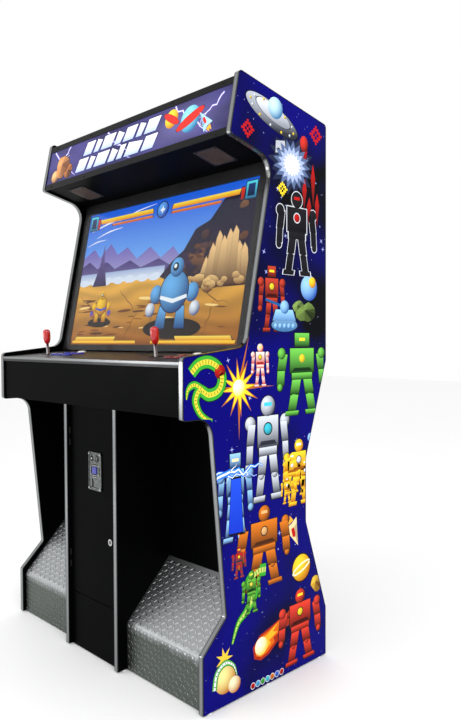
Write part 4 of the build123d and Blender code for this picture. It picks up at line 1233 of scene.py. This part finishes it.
def energy_bars(art):
    """Bars, end blocks and corner boxes along the top of the picture, and stepped bars at its foot."""
    bar_edge = (0.01, 0.01, 0.03)
    for away in (-1, 1):
        def strip(near, far, low, high, first, last, slant=0.0):
            outline = [(away * near, low), (away * far, low), (away * (far + slant), high),
                       (away * (near + slant), high)]
            art.outlined(outline, gradient(first, last, low, high), bar_edge, 4, 14)

        strip(52, 382, 216, 234, ink("F08A10"), ink("FFE848"), 6)
        strip(52, 300, 200, 209, ink("C8400C"), ink("F89A2A"), 4)
        strip(390, 404, 198, 236, ink("A01010"), ink("F03A28"))
        strip(410, 456, 196, 252, ink("1A6A9A"), ink("5AE0F0"))
        strip(418, 448, 204, 244, ink("0A1A3A"), ink("1E3A78"))
        strip(40, 452, -257, -247, ink("F0A010"), ink("FFE040"), 4)
        strip(176, 440, -247, -232, ink("E89010"), ink("FFE860"), -10)
    art.shape(disc(0, 222, 32), bar_edge, 15)
    art.ball(0, 222, 28, ink("6AB4FF"), ink("1438A8"), 16)
    art.shape(star(0, 222, 15, 7, 4), ink("F4F8FF"), 17)


def deck_art():
    """Faint many-coloured print over the dark deck laminate, clear of the joysticks."""
    flat = Flat("control_deck", Vector((0, 0, 1)))
    art = Print(flat)
    half_u, half_v = flat.width / 2 / MM, flat.height / 2 / MM
    sticks = [flat_place(flat, joint_place(f"stick_{side}_side")) for side in ("left", "right")]
    chance = random.Random(19)
    codes = ("7A5A3A", "3A5A8A", "6A3A6A", "3A6A4A", "8A4A3A", "5A5A6A", "8A7A4A")
    tones = [shaded(ink(code), 0.22) for code in codes]
    for k in range(150):
        u, v = chance.uniform(-half_u + 28, half_u - 28), chance.uniform(-half_v + 18, half_v - 18)
        size = chance.uniform(8, 24)
        if min(math.hypot(u - a, v - b) for a, b in sticks) > size * 1.4 + 26:
            if k % 3:
                shape = rubble(u, v, size, 200 + k, chance.uniform(0.5, 1.0), 0.4, 12)
            else:
                shape = star(u, v, size, size * 0.35, chance.choice((4, 5, 7)), chance.uniform(0, 1))
            art.shape(shape, shaded(chance.choice(tones), chance.uniform(0.5, 1.3)), 1 + k % 4)
    art.build("deck_art", DECK_PRINT, "deck_laminate")


def flat_place(flat, point):
    """Millimetres across and up a flat side, of a point near it."""
    return (point - flat.middle).dot(flat.across) / MM, (point - flat.middle).dot(flat.up) / MM


def joint_place(name):
    joint = next(j for j in frame["joints"] if j["name"] == name)
    return Vector(joint["pos_m"])


# ---------------------------------------------------------------- controls

def deck_frame(flat, point, lift=0.0):
    """A local frame on the deck above a point of the piece under it."""
    u, v = flat_place(flat, point)
    return flat.frame_at(u, v, lift)


def joysticks(flat):
    """Bat-topped sticks with chrome shafts, set out from their pivots, and a black collar round each hole."""
    belly = bend([(7.6, 71), (10.6, 77), (12.7, 87), (13.4, 98), (13.45, 107), (12.4, 114.6), (8.6, 119.6),
                  (3.6, 121.6)], 5)
    bat = [(0, 70), (7.4, 70.2), *belly, (0, 121.9)]
    shaft = [(0, -16), (8.9, -16), (8.9, -8.2), (8.6, -8), (5.5, -8), (5.5, 70.4), (0, 70.4)]
    collar = [(15.2, 0.05), (24, 0.05), (24, 0.5), (23.2, 1.0), (16, 1.0), (15.2, 0.6)]
    for side in ("left", "right"):
        pivot = joint_place(f"stick_{side}_side")
        drop = (pivot - flat.middle).dot(flat.out)
        place, body = deck_frame(flat, pivot, drop), f"stick_{side}"
        lathe(f"bat_top_{side}", bat, place, BAT_RED, body, (body,), "red_plastic", 48)
        lathe(f"stick_shaft_{side}", shaft, place, BRIGHT_CHROME, body, (body,), "bright_chrome", 32)
        lathe(f"deck_collar_{side}", collar, deck_frame(flat, pivot), BLACK_PLASTIC, slot="black_plastic", ring=True)


def push_buttons(flat):
    """Concave plungers in round bezels, six beside each stick and a start button above."""
    rim = [(0, -30), (13.9, -30), (13.9, 0.02), (16.2, 0.02), *arc((15.2, 1.9), 1.3, 0, 90), (13.4, 3.4),
           (12.5, 2.7), (12.4, -21.9), (0, -21.9)]
    cap = [(0, -18), (11.9, -18), (11.95, 4.2), *arc((10.4, 4.3), 1.55, 8, 88), (8.4, 5.45), (5.4, 5.1),
           (2.6, 4.88), (0, 4.82)]
    kinds = (("left", BLUE_PLASTIC, "blue_plastic", [f"plunger_left_{n}" for n in range(1, 7)]),
             ("right", RED_PLASTIC, "red_plastic", [f"plunger_right_{n}" for n in range(1, 7)]),
             ("start", WHITE_PLASTIC, "white_plastic", ["start_plunger_left", "start_plunger_right"]))
    for kind, paint, slot, plungers in kinds:
        points, faces = [], []
        for plunger in plungers:
            low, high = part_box(plunger)
            place = deck_frame(flat, (low + high) / 2)
            lathe(f"{plunger}_cap", cap, place, paint, plunger, (plunger,), slot, 36)
            rim_points, rim_faces = turned(rim, 36, place)
            faces += [tuple(i + len(points) for i in face) for face in rim_faces]
            points += rim_points
        name = f"button_bezels_{kind}"
        painted_piece(name, smooth_mesh(name, points, faces), paint, ROOT, (f"button_housings_{kind}",), slot)


# ---------------------------------------------------------------- repeated fittings

def link(tree, node, output, target, name):
    tree.links.new(node.outputs[output], target.inputs[name])


def studs_tree():
    """Low studs set on the points of a guide, each turned to its point's own direction."""
    tree = bpy.data.node_groups.new("studs", "GeometryNodeTree")
    tree.is_modifier = True
    tree.interface.new_socket("Guide", in_out="INPUT", socket_type="NodeSocketGeometry")
    for label in ("Length", "Width", "Rise", "Crown"):
        tree.interface.new_socket(label, in_out="INPUT", socket_type="NodeSocketFloat")
    tree.interface.new_socket("Corners", in_out="INPUT", socket_type="NodeSocketInt")
    tree.interface.new_socket("Finish", in_out="INPUT", socket_type="NodeSocketMaterial")
    tree.interface.new_socket("Studs", in_out="OUTPUT", socket_type="NodeSocketGeometry")
    given, made = tree.nodes.new("NodeGroupInput"), tree.nodes.new("NodeGroupOutput")
    shape = tree.nodes.new("GeometryNodeMeshCone")
    shape.inputs["Radius Bottom"].default_value = 0.5
    shape.inputs["Depth"].default_value = 1.0
    link(tree, given, "Corners", shape, "Vertices")
    link(tree, given, "Crown", shape, "Radius Top")
    points = tree.nodes.new("GeometryNodeMeshToPoints")
    link(tree, given, "Guide", points, "Mesh")

    def pass_on(name, kind, target, socket):
        held = tree.nodes.new("GeometryNodeInputNamedAttribute")
        held.data_type = kind
        held.inputs["Name"].default_value = name
        link(tree, held, "Attribute", target, socket)

    facing = tree.nodes.new("FunctionNodeAlignRotationToVector")
    facing.axis = "Z"
    pass_on("out", "FLOAT_VECTOR", facing, "Vector")
    spin = tree.nodes.new("FunctionNodeAxisAngleToRotation")
    spin.inputs["Axis"].default_value = (0, 0, 1)
    pass_on("turn", "FLOAT", spin, "Angle")
    whole = tree.nodes.new("FunctionNodeRotateRotation")
    whole.rotation_space = "LOCAL"
    link(tree, facing, "Rotation", whole, "Rotation")
    link(tree, spin, "Rotation", whole, "Rotate By")
    size = tree.nodes.new("ShaderNodeCombineXYZ")
    for label, part in (("Length", "X"), ("Width", "Y"), ("Rise", "Z")):
        link(tree, given, label, size, part)
    studs = tree.nodes.new("GeometryNodeInstanceOnPoints")
    link(tree, points, "Points", studs, "Points")
    link(tree, shape, "Mesh", studs, "Instance")
    link(tree, whole, "Rotation", studs, "Rotation")
    link(tree, size, "Vector", studs, "Scale")
    real = tree.nodes.new("GeometryNodeRealizeInstances")
    link(tree, studs, "Instances", real, "Geometry")
    paint = tree.nodes.new("GeometryNodeSetMaterial")
    link(tree, real, "Geometry", paint, "Geometry")
    link(tree, given, "Finish", paint, "Material")
    link(tree, paint, "Geometry", made, "Studs")
    return tree


STUDS = studs_tree()


def studs(name, places, sizes, paint, slot, body=ROOT, corners=12):
    """Sets one stud at each place: a point, its outward direction and its turn."""
    guide_mesh = bpy.data.meshes.new(f"{name}_guide")
    guide_mesh.from_pydata([tuple(point) for point, out, turn in places], [], [])
    outs = guide_mesh.attributes.new("out", "FLOAT_VECTOR", "POINT")
    for held, (point, out, turn) in zip(outs.data, places):
        held.vector = tuple(out)
    turns = guide_mesh.attributes.new("turn", "FLOAT", "POINT")
    for held, (point, out, turn) in zip(turns.data, places):
        held.value = turn
    guide = bpy.data.objects.new(f"{name}_guide", guide_mesh)
    bpy.context.scene.collection.objects.link(guide)
    modifier = guide.modifiers.new("studs", "NODES")
    values = dict(zip(("Length", "Width", "Rise", "Crown"), sizes), Corners=corners, Finish=paint)
    modifier.node_group = STUDS
    for socket in STUDS.interface.items_tree:
        if socket.in_out == "INPUT" and socket.name in values:
            modifier[socket.identifier] = values[socket.name]
    bpy.context.view_layer.update()
    evaluated = guide.evaluated_get(bpy.context.evaluated_depsgraph_get())
    mesh = bpy.data.meshes.new_from_object(evaluated)
    guide.modifiers.remove(modifier)
    bpy.data.objects.remove(guide)
    place_piece(name, mesh, body, slot=slot)


def kick_place(run):
    """Depth, height and outward direction on the kick plate, at a length up from its foot."""
    low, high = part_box("kick_plates")
    rise, back = high.z - KICK_BEND, high.y - low.y
    angle = math.atan2(back, rise)
    tangent = KICK_RADIUS * math.tan(angle / 2)
    straight = KICK_BEND - tangent - low.z
    curve = KICK_RADIUS * angle
    if run < straight:
        return low.y, low.z + run, 0.0
    if run < straight + curve:
        turn = (run - straight) / KICK_RADIUS
        return (low.y + KICK_RADIUS * (1 - math.cos(turn)), low.z + straight + KICK_RADIUS * math.sin(turn), turn)
    past = run - straight - curve + tangent
    return low.y + past * math.sin(angle), KICK_BEND + past * math.cos(angle), angle


def tread_plates():
    """Raised bars of the tread plate, in turn leaning left and right."""
    low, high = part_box("kick_plates")
    rise, back = high.z - KICK_BEND, high.y - low.y
    length = KICK_BEND - low.z + math.hypot(rise, back) - TREAD_PLAIN
    columns = int((high.x - COLUMN_HALF) / TREAD_PITCH)
    places = []
    for side in (-1, 1):
        for i in range(columns):
            x = side * (COLUMN_HALF + (i + 0.5) * (high.x - COLUMN_HALF) / columns)
            for j in range(int(length / TREAD_PITCH)):
                y, z, angle = kick_place((j + 0.5) * TREAD_PITCH)
                out = Vector((0, -math.cos(angle), math.sin(angle)))
                lean = math.radians(45 if (i + j) % 2 else -45)
                places.append((Vector((x, y, z)) - out * TREAD_SUNK, out, lean))
    studs("tread_bars", places, TREAD_STUD, TREAD_BAR, "tread_aluminium")


def rows_of(flat, us, vs):
    """Places in rows on a flat side, each turned its own way."""
    return [(flat.at(u, v), flat.out, (u * 7 + v * 3) % 3.1) for u in us for v in vs]


def grille_centres(face):
    """The middle of each speaker grille, along the speaker board."""
    return [side * (face.width / 2 / MM - GRILLE_HALF) for side in (-1, 1)]


def grille_mesh():
    """Expanded metal over each speaker grille: short strands that cross in diamonds, inside its rim."""
    face = Flat("speaker_grilles", Vector((0, -0.3, -1)).normalized())
    along, over = STRAND_PITCH
    lean, reach = math.atan2(over, along), GRILLE_HALF - GRILLE_BORDER
    places = []
    for centre in grille_centres(face):
        for i in range(int(2 * reach / along)):
            for j in range(int(2 * reach / over)):
                u, v = -reach + (i + 0.5) * along, -reach + (j + 0.5) * over
                places.append((face.at(centre + u, v), face.out, lean if (i + j) % 2 else -lean))
    studs("grille_mesh", places, STRAND, GRILLE_MESH, "black_metal", corners=6)


def coin_plate_ribs():
    """Ribs on the coin plate, round its button and above its return cup, each with a painted shadow beside it, a thin
    black stud; and a blank eye with a boss in its upper corner."""
    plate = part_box("coin_mech")
    button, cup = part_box("reject_button"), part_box("return_flap")
    face = plate[0].y + RIM_RISE
    middle, height = (button[0].x + button[1].x) / 2, (button[0].z + button[1].z) / 2
    # dark holds the painted shadows: black studs set just beside the ribs.
    bars, dark = [], []
    for z in (button[1].z + 0.005, button[0].z - 0.0045, cup[1].z + 0.0045):
        bars.append((Vector((middle, face, z)), PLAYER, 0.0))
        dark.append((Vector((middle, face, z + 0.0026)), PLAYER, 0.0))
    for x in (button[0].x - 0.010, button[1].x + 0.010):
        bars.append((Vector((x, face, height)), PLAYER, math.pi / 2))
        dark.append((Vector((x + 0.003, face, height)), PLAYER, math.pi / 2))
    eye = Vector((plate[0].x + 0.018, face, plate[1].z - 0.021))
    for name, places, sizes, paint, slot, corners in (
            ("coin_plate_ribs", bars, PLATE_RIB, BRIGHT_CHROME, "bright_chrome", 16),
            ("coin_plate_shadows", dark, RIB_SHADOW, BLACK_METAL, "black_metal", 16),
            ("coin_plate_eye", [(eye, PLAYER, 0.0)], PLATE_EYE, BLACK_METAL, "black_metal", 24),
            ("coin_plate_boss", [(eye, PLAYER, 0.0)], PLATE_BOSS, BRIGHT_CHROME, "bright_chrome", 24)):
        studs(name, places, sizes, paint, slot, "coin_door", corners)


def screw_heads():
    """Low round screw heads of the speaker grilles, marquee retainers, back boards and coin plate."""
    black = []
    face = Flat("speaker_grilles", Vector((0, -0.3, -1)).normalized())
    for centre in grille_centres(face):
        black += rows_of(face, (centre - GRILLE_SCREW, centre + GRILLE_SCREW), (-GRILLE_SCREW, GRILLE_SCREW))
    retainer = Flat("marquee_retainers", Vector((0, -1, 0.2)).normalized())
    edge = retainer.height / 2 / MM - 9
    black += rows_of(retainer, (-460, -230, 0, 230, 460), (-edge, edge))
    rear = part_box("back_panels")[1].y
    for z in (1.02, 1.34, 1.66):
        for x in (-0.485, -0.16, 0.16, 0.485):
            black.append((Vector((x, rear, z)), BEHIND, x + z))
    studs("black_screws", black, BOARD_SCREW, BLACK_METAL, "black_metal", corners=16)
    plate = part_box("coin_mech")
    bright = []
    for x in (plate[0].x + 0.005, plate[1].x - 0.005):
        for z in (plate[0].z + 0.006, plate[1].z - 0.006):
            bright.append((Vector((x, plate[0].y, z)), PLAYER, x * 40))
    studs("coin_plate_screws", bright, PLATE_SCREW, BRIGHT_CHROME, "bright_chrome", "coin_door", 16)


# ---------------------------------------------------------------- cabinet finishes

def paint_frame():
    """Gives every CAD piece its finish: black board, unless another is named."""
    named = (
        (SPACE_PRINT, "side_graphics"), (MARQUEE_BASE, "marquee_panel"), (LAMP_WHITE, "marquee_lamp"),
        (BLACK_METAL, "marquee_retainers door_fittings cash_box game_computer"), (GLASS, "screen_glass"),
        (BLACK_PLASTIC, "speakers monitor_panel button_switches power_inlet power_switch stick_ring_left "
                        "stick_ring_right"),
        (ZINC, "monitor_chassis joystick_housings"), (RAW_BOARD, "inner_shelves"), (WHITE_PLASTIC, "floor_glides"),
        (BRIGHT_CHROME, "lock_barrel"), (COIN_PLATE, "lock_plug return_flap"), (TREAD_SHEET, "kick_plates"),
        (BEZEL_PLASTIC, "screen_bezel"), (GRILLE_FRAME, "speaker_grilles"))
    finishes = {node: paint for paint, nodes in named for node in nodes.split()}
    for node, piece in NODES.items():
        piece.data.materials.clear()
        piece.data.materials.append(finishes.get(node, BLACK_BOARD))


def boards_and_trims():
    """Boards and mouldings with eased edges, in place of their sharp CAD pieces."""
    for node in ("roof_panel", "speaker_board", "control_box", "column_partitions", "plinth_panel", "recess_panels",
                 "back_panels"):
        eased(node, 0.0007, BLACK_BOARD, slot="black_board")
    eased("control_deck", 0.0006, DECK_BASE, slot="deck_laminate")
    eased("coin_door", 0.0008, BLACK_BOARD, "coin_door", "black_board")
    eased("front_edge_trims", 0.0007, SIDE_TRIM, slot="chrome_moulding", segments=3)
    eased("rear_edge_trims", 0.0007, BLACK_PLASTIC, slot="black_plastic", segments=3)
    eased("inner_edge_trims", 0.0007, INNER_TRIM, slot="chrome_moulding", segments=3)
    eased("coin_mech", 0.0005, COIN_PLATE, "coin_door", "bright_chrome")
    eased("reject_button", 0.0008, COIN_BLUE, "reject_button", "blue_plastic", 3)


camera()
studio()
paint_frame()
boards_and_trims()
tread_plates()
grille_mesh()
coin_plate_ribs()
screw_heads()
deck = Flat("control_deck", Vector((0, 0, 1)))
joysticks(deck)
push_buttons(deck)
deck_art()
marquee_art()
screen_art()
side_art("side_art_left", -1)
side_art("side_art_right", 1)
